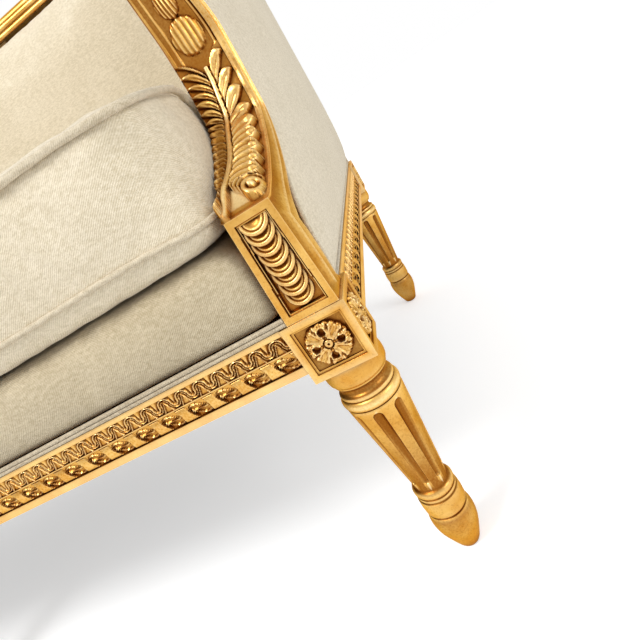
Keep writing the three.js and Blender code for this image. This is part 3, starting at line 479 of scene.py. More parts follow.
# Legs: turned, then eight flutes are cut with round-ended gouges
foot_turning = [
    (0, 9), (1, 10.8), (4, 12.6), (9, 14.6), (16, 17.2), (24, 20), (31, 22.1), (38, 23.4), (44, 23.9),
    (50, 23.7), (55, 22.8), (58, 21.8), (58.6, 20.6), (60.2, 20.6), (60.8, 21.8), (62, 22.4), (71, 22.9),
    (80, 22.5), (81, 22.2), (81.6, 20.9), (83, 20.7), (83.6, 21.6), (85, 21.9), (86.2, 21.5),
    (86.6, 20.7), (87.2, 20.7), (87.8, 21.3), (90, 22.1), (92.6, 22.1), (94.6, 21.2), (96, 19.6),
    (96.6, 18.4), (98, 18),
]
shoulder_turning = [
    (211, 28.7), (213, 28.7), (214.4, 28.2), (214.8, 27.4), (215.6, 27.4), (216, 28.6), (217.6, 29.6),
    (220, 30), (222.6, 29.7), (224.6, 28.8), (225.6, 27.8), (225.9, 26.9), (226.8, 26.8), (227.2, 27.6),
    (228.6, 27.8), (230, 27.3), (230.6, 26.2), (231, 25.2), (232.4, 23.8), (234.6, 22.9), (237, 23.1),
    (239.4, 24.6), (240.2, 26.4), (240.8, 27.2), (242.2, 27.2), (242.8, 28), (245.2, 29.3), (249, 30),
    (254, 30), (258.5, 29.4), (261.7, 28.6),
]
flute_count = 8
flute_bottom, flute_top = 107, 211
flute_low_radius, flute_high_radius = 3.8, 5.4
flute_sink = 1.5


def rounded_gouge():
    """A tapered cutter with round ends, as long as a flute."""
    profile = []
    for k in range(1, 7):
        turn = math.radians(15 * k)
        end = flute_bottom + flute_low_radius * (1 - math.cos(turn))
        profile.append((end, flute_low_radius * math.sin(turn)))
    for k in range(6, 0, -1):
        turn = math.radians(15 * k)
        end = flute_top - flute_high_radius * (1 - math.cos(turn))
        profile.append((end, flute_high_radius * math.sin(turn)))
    return turned("gouge", profile, 20)


def fluted_leg():
    leg = turned("leg_turning", foot_turning + shoulder_turning)
    gouge = rounded_gouge()
    low_z, low_r = foot_turning[-1]
    high_z, high_r = shoulder_turning[0]
    slope = (high_r - low_r) / (high_z - low_z)
    for vertex in gouge.data.vertices:
        vertex.co.x += low_r + (vertex.co.z - low_z) * slope + flute_sink
    turns = [Matrix.Rotation(2 * math.pi * k / flute_count, 4, "Z") for k in range(flute_count)]
    cutters = joined("gouges", [copied(gouge, f"gouge_{k}", turn) for k, turn in enumerate(turns)])
    apply_modifier(leg, "BOOLEAN", object=cutters, operation="DIFFERENCE", solver="EXACT")
    bpy.data.objects.remove(cutters)
    bpy.data.objects.remove(gouge)

    # Painted shade in the coves, grooves and flutes and over the foot, and a painted highlight round the
    # torus at the top of the shaft
    def wax_and_painted_light_at(co):
        r = math.hypot(co.x, co.y)
        if co.z > high_z:
            return (28.4 - r) / 6 if r < 28.4 else (28.4 - r) / 3 * lobe((co.z - 221) / 4)
        if co.z > low_z:
            land = low_r + (co.z - low_z) * slope
            return (land - 0.7 - r) / 1.6 if r < land - 0.3 else 0
        return max(0.08, (21.9 - r) / 2) if co.z > 57 else 0.36 + 0.4 * smooth((co.z - 46) / 12)

    return given_wax_and_painted_light(leg, wax_and_painted_light_at)


leg_places = {
    "front_right": (corner_x, front_row_y), "front_centre": (0, front_row_y),
    "front_left": (-corner_x, front_row_y), "rear_right": (corner_x, rear_row_y),
    "rear_centre": (0, rear_row_y), "rear_left": (-corner_x, rear_row_y),
}
pattern_leg = fluted_leg()
for place, (x, y) in leg_places.items():
    leg = copied(pattern_leg, f"fluted_leg_{place}", Matrix.Translation((x, y, 0)))
    finished(leg, gilding, stands_for=[f"leg_{place}"], angle=32)
bpy.data.objects.remove(pattern_leg)

# Die blocks: a sunk square with a stepped edge, and a pierced rosette in it
sinking_border = 6.4
sinking_depth = 2
sinking_step = 2.2
rosette_radius = 20.5
rosette_rise = 4.3
eye_distance = 11.6
eye_radius = 3.2


def rosette_height(x, z):
    """Four leaves that point to the corners, four drilled eyes between them and a bead in the middle."""
    r = math.hypot(x, z)
    angle = math.atan2(z, x)
    rim = rosette_radius * (0.94 + 0.06 * abs(math.cos(10 * angle)))
    if r > rim:
        return -1.5
    height = rosette_rise * (0.58 + 0.42 * lobe((r - 9) / 13)) * min(1, (rim - r) / 1.8 + 0.3) ** 0.5
    # Veins fan out from each leaf's stem. It is folded along its middle, and small curls edge it.
    leaf = (angle % (math.pi / 2)) - math.pi / 4
    height += 0.8 * math.cos(24 * leaf) * smooth((r - 5) / 9)
    height -= 1.6 * lobe(leaf * r / 1.2) * smooth((r - 6) / 3)
    height -= 2.2 * lobe((abs(leaf) - math.pi / 4) * r / 1.6)
    height += 1.1 * lobe((r - 17.6) / 1.7) * math.cos(20 * angle) ** 2
    # Drilled eyes with a rolled lip
    turn = math.radians(90) * round(angle / math.radians(90))
    eye = math.hypot(x - eye_distance * math.cos(turn), z - eye_distance * math.sin(turn))
    height += 1.3 * lobe((eye - eye_radius - 1.1) / 1.2)
    if eye < eye_radius:
        height = -0.4 + 2.4 * (eye / eye_radius) ** 8
    # Bead with a pricked centre
    if r < 4.6:
        height = 3.4 + 1.5 * math.sqrt(lobe(r / 3.8)) - 2.2 * lobe(r / 1.2) - lobe((r - 4.4) / 0.8)
    return height


def rosette():
    steps, reach = 76, rosette_radius + 1
    rows = []
    for j in range(steps + 1):
        z = between(-reach, reach, j / steps)
        xs = [between(-reach, reach, i / steps) for i in range(steps + 1)]
        rows.append([(x, -rosette_height(x, z), z) for x in xs])
    flower = facing(lofted("rosette", rows, closed=False), Vector((0, -1, 0)))
    # Painted shade on the rosette's low ground, and a painted highlight on its high leaves
    return given_wax_and_painted_light(flower, lambda co: max(-0.35, (2.9 + co.y) / 3))


def carved_block(name, x, y, angles):
    fresh()
    bpy.ops.mesh.primitive_cube_add(size=1)
    block = bpy.context.object
    block.name = name
    block.scale = (block_size, block_size, block_height)
    bpy.ops.object.transform_apply()
    half = block_size / 2
    editing(block)
    bpy.ops.mesh.select_all(action="SELECT")
    for angle in angles:
        out = Vector((math.sin(angle), -math.cos(angle), 0))
        pick(block, lambda middle, normal: normal.dot(out) > 0.9 and middle.dot(out) > half - 0.1)
        bpy.ops.mesh.inset(thickness=sinking_border)
        bpy.ops.mesh.extrude_region_move(TRANSFORM_OT_translate={"value": -out * sinking_depth})
        bpy.ops.mesh.inset(thickness=sinking_step)
        bpy.ops.mesh.extrude_region_move(TRANSFORM_OT_translate={"value": -out * sinking_depth})
    apply_modifier(block, "BEVEL", width=0.6, segments=2, limit_method="ANGLE", angle_limit=math.radians(40))
    # Painted shade in the sunk square, darker the deeper it lies
    given_wax_and_painted_light(block, lambda co: (half - max(abs(co.x), abs(co.y)) - 0.7) / 8 if abs(co.z) < half - 3 else 0)
    flowers = [copied(pattern_rosette, f"{name}_rosette", Matrix.Rotation(angle, 4, "Z")
                      @ Matrix.Translation((0, -half + 2 * sinking_depth, 0))) for angle in angles]
    block = joined(name, [block, *flowers])
    block.data.transform(Matrix.Translation((x, y, leg_height + block_height / 2)))
    return block


pattern_rosette = rosette()
for place, (x, y) in leg_places.items():
    angles = [0] if place.startswith("front") else []
    if not place.endswith("centre"):
        angles.append(math.copysign(math.pi / 2, x))
    block = carved_block(f"carved_block_{place}", x, y, angles)
    finished(block, gilding, stands_for=[f"die_block_{place}"])
bpy.data.objects.remove(pattern_rosette)

# Seat rails: a waved cord with tongues and darts above, a ribbon wound on a rod below, between plain fillets
rail_height = block_height - rail_rise
rail_bottom = leg_height + rail_rise
ribbon_low, ribbon_high = 8.2, 25.4
tongue_low, tongue_high = 26.8, 41.6
rail_sinking = 4.2
tongue_pitch = 20.5
ribbon_pitch = 31.3
cord_arch_radius, cord_cup_radius = 5.7, 4.55


def tongue_height(s, t):
    """A double cord waves over each tongue and under each dart. s and t are shares of the motif's sides."""
    across = abs(s - 0.5) * tongue_pitch
    up = (t - 0.5) * (tongue_high - tongue_low)
    # Distance from the cord's middle line: above zero towards the dart, below zero towards the tongue
    if up > 0:
        away = math.hypot(across, up) - cord_arch_radius
    else:
        away = cord_cup_radius - math.hypot(tongue_pitch / 2 - across, up)
    height = 2.2 + 2.2 * lobe((away - 1.05) / 1.25) + 1.7 * lobe((away + 1.35) / 0.95)
    if away < -2.2:
        # Tongue: a pointed leaf with raised edges
        side = across - 0.45 * (cord_arch_radius - 2.2 - up)
        height += 1.9 * lobe(side / 0.95) + 0.5 * (side < 0)
    if away > 2.2:
        # Dart: a stem that flares into the upper edge
        dart = tongue_pitch / 2 - across
        height += 1.9 * lobe(dart / (0.8 + 0.4 * max(0, up)))
    return height


def ribbon_height(s, t):
    """A smooth rod with slanting ends, then the ribbon's pointed loop with a ridge and a bead at its top."""
    up = 2 * t - 1
    rod = 2.6 + 2.4 * math.sqrt(lobe(up / 0.98)) if abs(up) < 0.98 else 2.2
    along = (s + 0.14 * up - 0.34) / 0.66
    if not 0 < along < 1:
        return rod
    tilt = up + 0.62 * (along - 0.5)
    width = 0.72 * math.sin(math.pi * along) ** 0.8
    inside = abs(tilt) / max(0.04, width)
    if inside > 1.15:
        return 3.1 if tilt > 0 else 1.4
    height = 2.0 + 0.5 * along + 2.4 * lobe((inside - 0.93) / 0.22)
    ridge = up + 0.12 * (along - 0.5) + 0.02
    if inside < 1:
        height += 2.2 * lobe(ridge / 0.13) * smooth((along - 0.16) * 8) * smooth((0.92 - along) * 7)
    return height + 2.4 * lobe(math.hypot((along - 0.16) / 0.09, (tilt + 0.16) / 0.26))


def band(name, length, low, high, pitch, height_at, across, up):
    """A carved strip along X: one motif is modelled and repeated to fill the length."""
    count = round(length / pitch)
    step = length / count
    rows = []
    for j in range(up + 1):
        t = j / up
        rows.append([(step * i / across, -height_at(i / across, t), between(low, high, t))
                     for i in range(across + 1)])
    strip = facing(lofted(name, rows, closed=False), Vector((0, -1, 0)))
    apply_modifier(strip, "ARRAY", count=count, use_relative_offset=False, use_constant_offset=True,
                   constant_offset_displace=(step, 0, 0), use_merge_vertices=True, merge_threshold=0.01)
    return strip


def carved_rail(name, length, thickness, carved=True):
    """Front face at Y = 0, starting at X = 0 and standing on Z = 0. A rear rail keeps its sinkings plain."""
    fresh()
    bpy.ops.mesh.primitive_cube_add(size=1)
    rail = bpy.context.object
    rail.scale = (length, thickness, rail_height)
    rail.location = (length / 2, thickness / 2, rail_height / 2)
    bpy.ops.object.transform_apply()
    editing(rail)
    for level in (ribbon_low, ribbon_high, tongue_low, tongue_high):
        bpy.ops.mesh.select_all(action="SELECT")
        bpy.ops.mesh.bisect(plane_co=(0, 0, level), plane_no=(0, 0, 1))
    for low, high in ((ribbon_low, ribbon_high), (tongue_low, tongue_high)):
        pick(rail, lambda middle, normal: normal.y < -0.9 and low < middle.z < high)
        bpy.ops.mesh.extrude_region_move(TRANSFORM_OT_translate={"value": (0, rail_sinking, 0)})
    apply_modifier(rail, "BEVEL", width=0.5, segments=2, limit_method="ANGLE", angle_limit=math.radians(40))
    sunk = rail_sinking + 1
    # Painted shade in the sunk bands, darker with depth
    given_wax_and_painted_light(rail, lambda co: co.y / rail_sinking if ribbon_low < co.z < tongue_high and co.y < sunk else 0)
    if not carved:
        return rail
    low, high = ribbon_low + 0.4, ribbon_high - 0.2
    tongues = band("tongues", length, tongue_low, tongue_high, tongue_pitch, tongue_height, 32, 20)
    ribbons = band("ribbons", length, low, high, ribbon_pitch, ribbon_height, 40, 18)
    for strip in (tongues, ribbons):
        # Painted shade on the carvings' low ground, and a painted highlight on their high parts
        given_wax_and_painted_light(strip, lambda co: max(-0.22, (3.1 + co.y) / 1.9))
        strip.data.transform(Matrix.Translation((0, rail_sinking + 0.2, 0)))
    return joined(name, [rail, tongues, ribbons])


long_rail = corner_x - block_size - 2 * gap
short_rail = frame_depth - 2 * block_size - 2 * gap
front_rail = carved_rail("front_pattern", long_rail, front_rail_thickness)
rear_rail = carved_rail("rear_pattern", long_rail, rear_rail_thickness, carved=False)
end_rail = carved_rail("end_pattern", short_rail, front_rail_thickness)
side_middle_y = front_y + frame_depth / 2
for side, sign in (("right", 1), ("left", -1)):
    middle, end_x = sign * corner_x / 2, sign * (half_length - side_rail_setback)
    # Each rail's pattern, look, place in the frame and length, the middle of its face, and its turn
    for pattern, look, rail, length, x, y, turn in (
            (front_rail, "carved", "front_rail", long_rail, middle, front_y + rail_setback, 0),
            (rear_rail, "moulded", "rear_rail", long_rail, middle, rear_y - rail_setback, 180),
            (end_rail, "carved", "side_rail", short_rail, end_x, side_middle_y, sign * 90)):
        settle = Matrix.Translation((x, y, rail_bottom)) @ Matrix.Rotation(math.radians(turn), 4, "Z")
        piece = copied(pattern, f"{look}_{rail}_{side}", settle @ Matrix.Translation((-length / 2, 0, 0)))
        finished(piece, gilding, stands_for=[f"{rail}_{side}"])
for pattern in (front_rail, rear_rail, end_rail):
    bpy.data.objects.remove(pattern)

# Arm supports: a coin-panelled stump under an acanthus console
# The rows are shares of the arm's reach and rise, as in the CAD
console_front_shares = [
    (0.033, 0.269), (0.256, 0.301), (0.461, 0.351), (0.628, 0.411), (0.717, 0.456),
    (0.75, 0.515), (0.783, 0.57), (0.811, 0.684), (0.789, 0.772), (0.76, 0.86),
]
console_back_shares = [
    (0.367, 0.158), (0.467, 0.225), (0.611, 0.284), (0.767, 0.363), (0.867, 0.439),
    (0.894, 0.503), (0.928, 0.561), (0.978, 0.684), (0.985, 0.772), (0.985, 0.86),
]
stump_front_shares = [(0.006, 0), (0.012, 0.1), (0.017, 0.19), (0.022, 0.275)]
stump_back_shares = [(0.278, 0), (0.325, 0.063), (0.35, 0.133), (0.367, 0.158)]
stump_outer, stump_inner = (3.1, 7.6), (51.7, 47.6)
console_outer, console_inner = 7.6, 53.4
# Side moulding from the front edge to the back: share of the depth, and how far it is hollowed
side_moulding = [
    (0.02, 0), (0.05, 0.4), (0.07, 2.2), (0.12, 4.6), (0.19, 5.8), (0.27, 5.9), (0.35, 5.1), (0.43, 3.6),
    (0.50, 1.8), (0.545, 0.5), (0.562, 0), (0.585, 0), (0.60, 0.6), (0.615, 2.7), (0.64, 3.3),
    (0.68, 2.8), (0.73, 1.8), (0.78, 0.9), (0.80, 0.1), (0.825, 0), (0.845, 0.5), (0.86, 2.3),
    (0.90, 2.9), (0.94, 2.4), (0.97, 2.3), (1, 3),
]
side_foot = 10


def arm_points(shares):
    return [Vector((0, front_y + reach * arm_reach, seat_top + gap + rise * arm_height_above_seat))
            for reach, rise in shares]


leaf_crown = 14
leaf_lean, leaf_foot_lean = 5, 13
leaf_inner_edge, leaf_outer_edge = 22.6, 17.6
leaflet_length = 17.5
leaflet_count = 9
leaf_first = 15
leaf_last = leaf_first + leaflet_length * leaflet_count
# Distances up the console: where the leaf begins to fall back and over how much, and where it stops leaning
fall_from, fall_over = 60, 125
lean_from, lean_over, foot_lean_over = 110, 75, 75
ledge_depth = 8
# The outer side flares up to a height, and returns from another over a distance
console_flare = 8
flare_until, return_from, return_over = 150, 205, 75
# Curls at the leaf's foot: place across and up, then reach across and up
outer_volute = (-11, 19, 8.6, 14)
inner_volute = (20, 12, 3.4, 8)
bells = ((214, 13, 16), (242, 9, 12), (264, 7, 10))


def leaflets(f, along, fall, length):
    """Height and wax, with painted shade and highlight, of the leaflets. f runs up the midrib to where one
    springs, and along out to its tip.
    """
    lane = (f - leaf_first) / length
    t = lane - math.floor(lane) - 0.5
    # Low leaflets end round, high ones in a point
    start = between(0.55, 0.3, fall)
    taper = 1 - max(0, (along - start) / (1 - start)) ** between(3.0, 1.7, fall)
    room = 0.5 * taper ** between(0.55, 0.9, fall)
    if abs(t) > room - 0.02:
        return -5.5, 1
    rim = (room - abs(t)) * length
    tip = smooth((along - 0.45) / 0.4)
    veins = max(lobe((rim - 1.9) / 1.9), 0.85 * lobe(t / 0.13) * (1 - 0.6 * tip))
    blade = (1 - (t / room) ** 2) * (1 - 0.75 * lobe((t + 0.08) / 0.12) * (1 - tip))
    ridge = between(veins, blade, smooth(fall * 1.6))
    height = 0.2 + between(1.5, 2.6, tip) * ridge * smooth(along * 5) + 2.2 * t + 1.2 * tip
    # Painted shade in the troughs and gaps, and a painted highlight on the ridges towards the tips
    wax_and_painted_light = between(0.3, 0.45, tip) * (1 - ridge) * smooth(along * 4) - 0.8 * ridge * tip - 0.3 * ridge
    # Curled tips of the low leaflets, with a painted highlight
    curl = math.hypot((along - 0.83) / 0.17, (t - 0.05) * length / 6)
    if curl < 1 and fall < 0.7:
        height += (2.2 - 2.2 * fall) * lobe(curl)
        wax_and_painted_light -= 0.3 * lobe(curl)
    edge = smooth((0.7 - rim) / 0.7) * smooth(along * 2.5)
    return height - 1.4 * edge, max(wax_and_painted_light, 0.9 * edge)


def volute(place, v, w):
    """How far out in a curl a point lies: 0 at its middle, 1 at its rim."""
    return math.hypot((w - place[0]) / place[2], (v - place[1]) / place[3])


def acanthus(v, w):
    """Height of the carved face over its plain border, in millimetres, and its wax with painted shade and
    highlight.

    v runs up from the stump, and w across it, above zero on the seat's side.
    """
    fall = smooth((v - fall_from) / fall_over)
    lean = leaf_lean * (1 - smooth((v - lean_from) / lean_over))
    lean += leaf_foot_lean * max(0, 1 - max(0, v) / foot_lean_over) ** 1.5
    across = w - lean
    inner = across > 0
    half = leaf_inner_edge - lean if inner else leaf_outer_edge + lean
    away = abs(across)
    along = away / half
    bow = leaf_crown * (1 - 0.8 * fall) * (1 - (0.45 if inner else 0.8) * min(1, along) ** 2)
    curl = volute(inner_volute if inner else outer_volute, v, w)
    if curl < 1:
        # Curl: a rolled rim round an eye in painted shade, with a bead in it; the rim and bead get a painted
        # highlight
        roll = 3.2 * lobe((curl - 0.76) / 0.26)
        bead = math.hypot(w - outer_volute[0] - 0.8, v - outer_volute[1] - 2) / 3.3
        if bead < 1 and not inner:
            return bow + 3.6 * math.sqrt(lobe(bead)) - 0.4, -0.7
        return bow - 1.4 + roll, 0.9 - 1.25 * smooth(roll / 2)
    if along > 1:
        # The plain border gets a slight painted highlight
        return 0.4 * lobe((abs(w) - 20.6) / 1.3), -0.3
    rib = between(3.4, 2.0, min(1, max(0, v) / 150))
    f = v - between(20, 25, fall) * (1 - (1 - along) ** between(4, 2.2, fall))
    arch = 13 + 17 * max(0, 1 - away / 22) ** 1.2
    if away < rib and v < leaf_last + 12:
        # Midrib: a round stem that bends towards the seat at its foot, with a painted highlight
        return bow * smooth((v + 9) / 40) + 2 * math.sqrt(lobe(away / rib)), -0.75 * lobe(away / rib)
    if v < arch:
        # Smooth cove under the leaf with a painted highlight, and painted shade on the fillet at its foot
        wax_and_painted_light = 0.35 * smooth((6 - v) / 2) - 0.8 * smooth((v - 6) / 3)
        return bow * 0.9 * (max(0, v - 3) / 28) ** 1.15, wax_and_painted_light
    if f < leaf_first:
        # Lines that sweep down from the midrib and round the curl, with a painted highlight on the ridges and
        # painted shade in the troughs
        line = math.cos(2 * math.pi * (curl - 1.14) / 0.42)
        return bow + 1.4 * line + 0.8 - 2 * lobe((curl - 1) / 0.08), 0.15 - 0.5 * line
    if f > leaf_last:
        # Fluted bells on a sunk ground in painted shade
        for place, wide, tall in bells:
            bell = math.hypot(away / wide, (v - place) / tall)
            if bell < 1:
                ridge = math.cos(2 * math.pi * away / (0.34 * wide))
                return 4.4 * math.sqrt(lobe(bell)) + 0.7 * ridge - 2, 0.15 - 0.5 * ridge
        return -2.6 + 1.4 * lobe((away - 15.5) / 1.6), 0.85 - 0.8 * lobe((away - 15.5) / 2.2)
    relief, wax_and_painted_light = leaflets(f, along, fall, leaflet_length * (between(0.85, 0.62, fall) if inner else 1))
    # Painted shade in the groove beside the midrib; the outer half is painted brighter than the inner, as the
    # side the light falls on
    if away < rib + 1.4:
        relief -= 1.2 * (rib + 1.4 - away)
        wax_and_painted_light = max(wax_and_painted_light, 0.5)
    return max(bow + relief, 0.35 * bow - 1.2), wax_and_painted_light - (0.1 if inner else 0.32)


panel_border = 6
coin_panel_depth = 5.2


def coin_panel(w, z, half):
    """Sinking of the stump's front, with a narrow fillet inside its border, and its wax with painted shade in
    the sinking.
    """
    inside = min(half - panel_border - abs(w), z - panel_border, stump_height - panel_border - z)
    if inside < 0:
        return 0, 0
    return (-2.2, 0.9) if inside < 0.7 else (-1.5, 0.1) if inside < 1.9 else (-coin_panel_depth, 0.8)


stump_height = (stump_front_shares[-1][1] - stump_front_shares[0][1]) * arm_height_above_seat


def support_ring(near, far, out, outer, inner, heights, hollow):
    """One ring of an arm support: its front face from side to side, then its moulded sides."""
    centre, half = (outer + inner) / 2, (inner - outer) / 2
    ring = []
    last = len(heights) - 1
    for i, (height, wax_and_painted_light) in enumerate(heights):
        point = near + out * height
        ring.append((-(centre + between(-half, half, i / last)), point.y, point.z, wax_and_painted_light))
    for sign, moulding in ((1, side_moulding), (-1, side_moulding[::-1])):
        for depth, sink in moulding:
            point = near.lerp(far, depth)
            # Painted shade in the side hollows, standing for a dark reflection, and a painted highlight on
            # the beads between them
            wax_and_painted_light = hollow * (sink / 7 - 0.5 * lobe((depth - 0.55) / 0.08) - 0.4 * lobe((depth - 0.82) / 0.06))
            ring.append((-(centre + sign * (half - sink * hollow)), point.y, point.z, wax_and_painted_light))
    return ring


def support_rows():
    """The stump from the seat rail up, then a small ledge, then the console that sweeps back and up."""
    across = 76
    stump_front, stump_back = arm_points(stump_front_shares), arm_points(stump_back_shares)
    forward = Vector((0, -1, 0))
    rows = []
    for k in range(113):
        t = k / 112
        near, far = through(stump_front, t), through(stump_back, t)
        near.z = between(stump_front[0].z, stump_front[-1].z, t)
        outer, inner = between(*stump_outer, t), between(*stump_inner, t)
        half = (inner - outer) / 2
        up = t * stump_height
        heights = [coin_panel(between(-half, half, i / across), up, half) for i in range(across + 1)]
        rows.append(support_ring(near, far, forward, outer, inner, heights, smooth(up / side_foot)))
    front, back = arm_points(console_front_shares), arm_points(console_back_shares)
    half = (console_inner - console_outer) / 2
    steps, travelled, before = 330, 0, None
    for k in range(steps + 1):
        near, far = through(front, k / steps), through(back, k / steps)
        tangent = through(front, min(1, (k + 1) / steps)) - through(front, max(0, (k - 1) / steps))
        travelled += (near - before).length if before else 0
        before = near
        if travelled < ledge_depth:
            continue
        out = Vector((0, -tangent.z, tangent.y)).normalized()
        v = travelled - ledge_depth
        heights = [acanthus(v, between(-half, half, i / across)) for i in range(across + 1)]
        flare = console_flare * smooth(v / flare_until) * (1 - smooth((v - return_from) / return_over))
        rows.append(support_ring(near, far, out, console_outer - flare, console_inner, heights, 1))
    return rows


coin_count = 8
coin_pitch = 9.3
coin_lean = 22
coin_middle, coin_seat = 27.6, 8.2
coin_turning = [
    (-2.5, 12.8), (0.6, 13.3), (1.8, 13.2), (2.6, 12.5), (2.9, 11.5), (2.7, 10.5), (2.0, 9.8), (1.6, 9.5),
    (1.8, 9.2), (2.3, 8.6), (2.3, 7.8), (1.9, 6.9), (1.3, 5.8), (0.9, 4.2), (0.7, 2.4), (0.6, 0.4),
]


def coin_column():
    """Dished coins that overlap downwards like scales. The panel's frame cuts the top one in half."""
    coin = turned("coin", coin_turning, 44)
    # Painted shade in each coin's dish, and a painted highlight on its rim
    given_wax_and_painted_light(coin, lambda co: 0.6 - 0.85 * smooth((co.z - 0.9) / 1.7))
    highest = seat_top + gap + stump_height - panel_border - 1.6
    coins = []
    for k in range(coin_count):
        place = Vector((-coin_middle, front_y + coin_seat, highest - coin_pitch * k))
        turn = Matrix.Rotation(math.radians(90 - coin_lean), 4, "X")
        coins.append(copied(coin, f"coin_{k}", Matrix.Translation(place) @ turn))
    bpy.data.objects.remove(coin)
    column = joined("coins", coins)
    editing(column)
    bpy.ops.mesh.select_all(action="SELECT")
    bpy.ops.mesh.bisect(plane_co=(0, 0, highest + 1.8), plane_no=(0, 0, 1), clear_outer=True, use_fill=True)
    fresh()
    return column


# Arm rails: a scroll in front, then a reeded bar that climbs to the crest
reeded_section = []
for rise in (0.16, 0.5, 0.84):
    for k in range(7):
        turn = math.radians(-90 + 30 * k)
        reeded_section.append((rise + 0.16 * math.sin(turn), 0.5 - 0.07 + 0.07 * math.cos(turn)))
reeded_section += [(1, 0.36), (1, -0.36)]
reeded_section += [(rise, -across) for rise, across in reeded_section[20::-1]]


def arm_rail_rows(end_height):
    rows = []
    rear = crest_front_y + rake(end_height - crest_thickness) - gap
    for k in range(73):
        y = between(scroll_centre_y, rear, k / 72)
        top = arm_top_at(y, end_height)
        rows.append([(-(arm_setback + arm_rail_width * (0.5 + across)), y,
                      top - (1 - rise) * arm_rail_thickness) for rise, across in reeded_section])
    return rows


def volute_cheek(sign):
    """One carved side of the scroll: a fillet winding in to a round eye."""
    rows = []
    for ring in range(31):
        r = scroll_radius * 0.97 * ring / 30
        row = []
        for k in range(61):
            angle = 2 * math.pi * k / 60
            wind = r / 9.4 - angle / (2 * math.pi)
            rise = 1.9 * lobe((wind - round(wind)) / 0.24) * (r > 7.5)
            if r <= 7:
                rise = 2.4 * math.sqrt(lobe(r / 7.2))
            row.append((sign * rise, r * math.cos(angle), r * math.sin(angle)))
        rows.append(row)
    cheek = lofted("cheek", rows, closed=False)
    return facing(cheek, Vector((sign, 0, 0)))


def scroll():
    half = arm_rail_width / 2
    # Left half of the barrel's profile, from its cheek in to the bead round its middle
    rim = [(-half, 27.5), (-half + 1, 29.3), (-half + 4, 30), (-half + 7.5, 29.6), (-half + 8.4, 27.6),
           (-half + 10, 26.6), (-5, 25.9), (-3.6, 26.6), (-2.4, 27.8)]
    drum = turned("drum", rim + [(-along, radius) for along, radius in reversed(rim)], 72)
    drum.data.transform(Matrix.Rotation(math.pi / 2, 4, "Y"))
    cheeks = [volute_cheek(1), volute_cheek(-1)]
    cheeks[0].data.transform(Matrix.Translation((half - 0.1, 0, 0)))
    cheeks[1].data.transform(Matrix.Translation((-half + 0.1, 0, 0)))
    roll = joined("scroll", [drum, *cheeks])
    roll.data.transform(Matrix.Translation((-(arm_setback + half), scroll_centre_y, arm_top - scroll_radius)))
    return roll


def end_copies(piece, name):
    """The right-hand piece and its mirror image on the left, from one with its outer face at X = 0."""
    right = copied(piece, f"{name}_right", Matrix.Translation((half_length, 0, 0)))
    mirror = Matrix.Translation((-half_length, 0, 0)) @ Matrix.Scale(-1, 4, (1, 0, 0))
    left = copied(piece, f"{name}_left", mirror)
    bpy.data.objects.remove(piece)
    return right, left


support = joined("support", [lofted("console", support_rows()), coin_column()])
for side, piece in zip(("right", "left"), end_copies(support, "acanthus_support")):
    finished(piece, gilding, stands_for=[f"arm_support_{side}"])
for side, sign, end_height in (("right", 1, head_height), ("left", -1, foot_height)):
    rail = joined("arm", [lofted("bar", arm_rail_rows(end_height)), scroll()])
    mirror = Matrix.Identity(4) if sign > 0 else Matrix.Scale(-1, 4, (1, 0, 0))
    piece = copied(rail, f"scrolled_arm_{side}", Matrix.Translation((sign * half_length, 0, 0)) @ mirror)
    bpy.data.objects.remove(rail)
    finished(piece, gilding, stands_for=[f"arm_rail_{side}"])

# Crest rail: the same reeding laid along the falling top of the back
crest_section = [(0, 0), (1, 0)]
for rise in (0.14, 0.44):
    for k in range(7):
        turn = math.radians(-90 + 30 * k)
        crest_section.append((1 - 0.05 + 0.05 * math.cos(turn), rise + 0.13 * math.sin(turn)))
for k in range(13):
    turn = math.radians(15 * k)
    crest_section.append((0.5 + 0.46 * math.cos(turn), 0.62 + 0.36 * math.sin(turn)))
for rise in (0.44, 0.14):
    for k in range(7):
        turn = math.radians(90 - 30 * k)
        crest_section.append((0.05 - 0.05 * math.cos(turn), rise + 0.13 * math.sin(turn)))
crest_rows = []
for k in range(141):
    x = between(arm_setback - half_length, half_length - arm_setback, k / 140)
    bottom = crest_top(x) - crest_thickness
    crest_rows.append([(x, crest_front_y + depth * crest_depth + rake(bottom),
                        bottom + rise * crest_thickness) for depth, rise in crest_section])
finished(lofted("reeded_crest_rail", crest_rows), gilding, stands_for=["crest_rail"])

# Upholstery: a stuffed piece is a closed form, remeshed, blown up as cloth held along its seams, and smoothed
cloth_frames = 20
cloth_pressure = 4
# The cover is cut this share larger than its stuffing
cloth_slack = 0.012


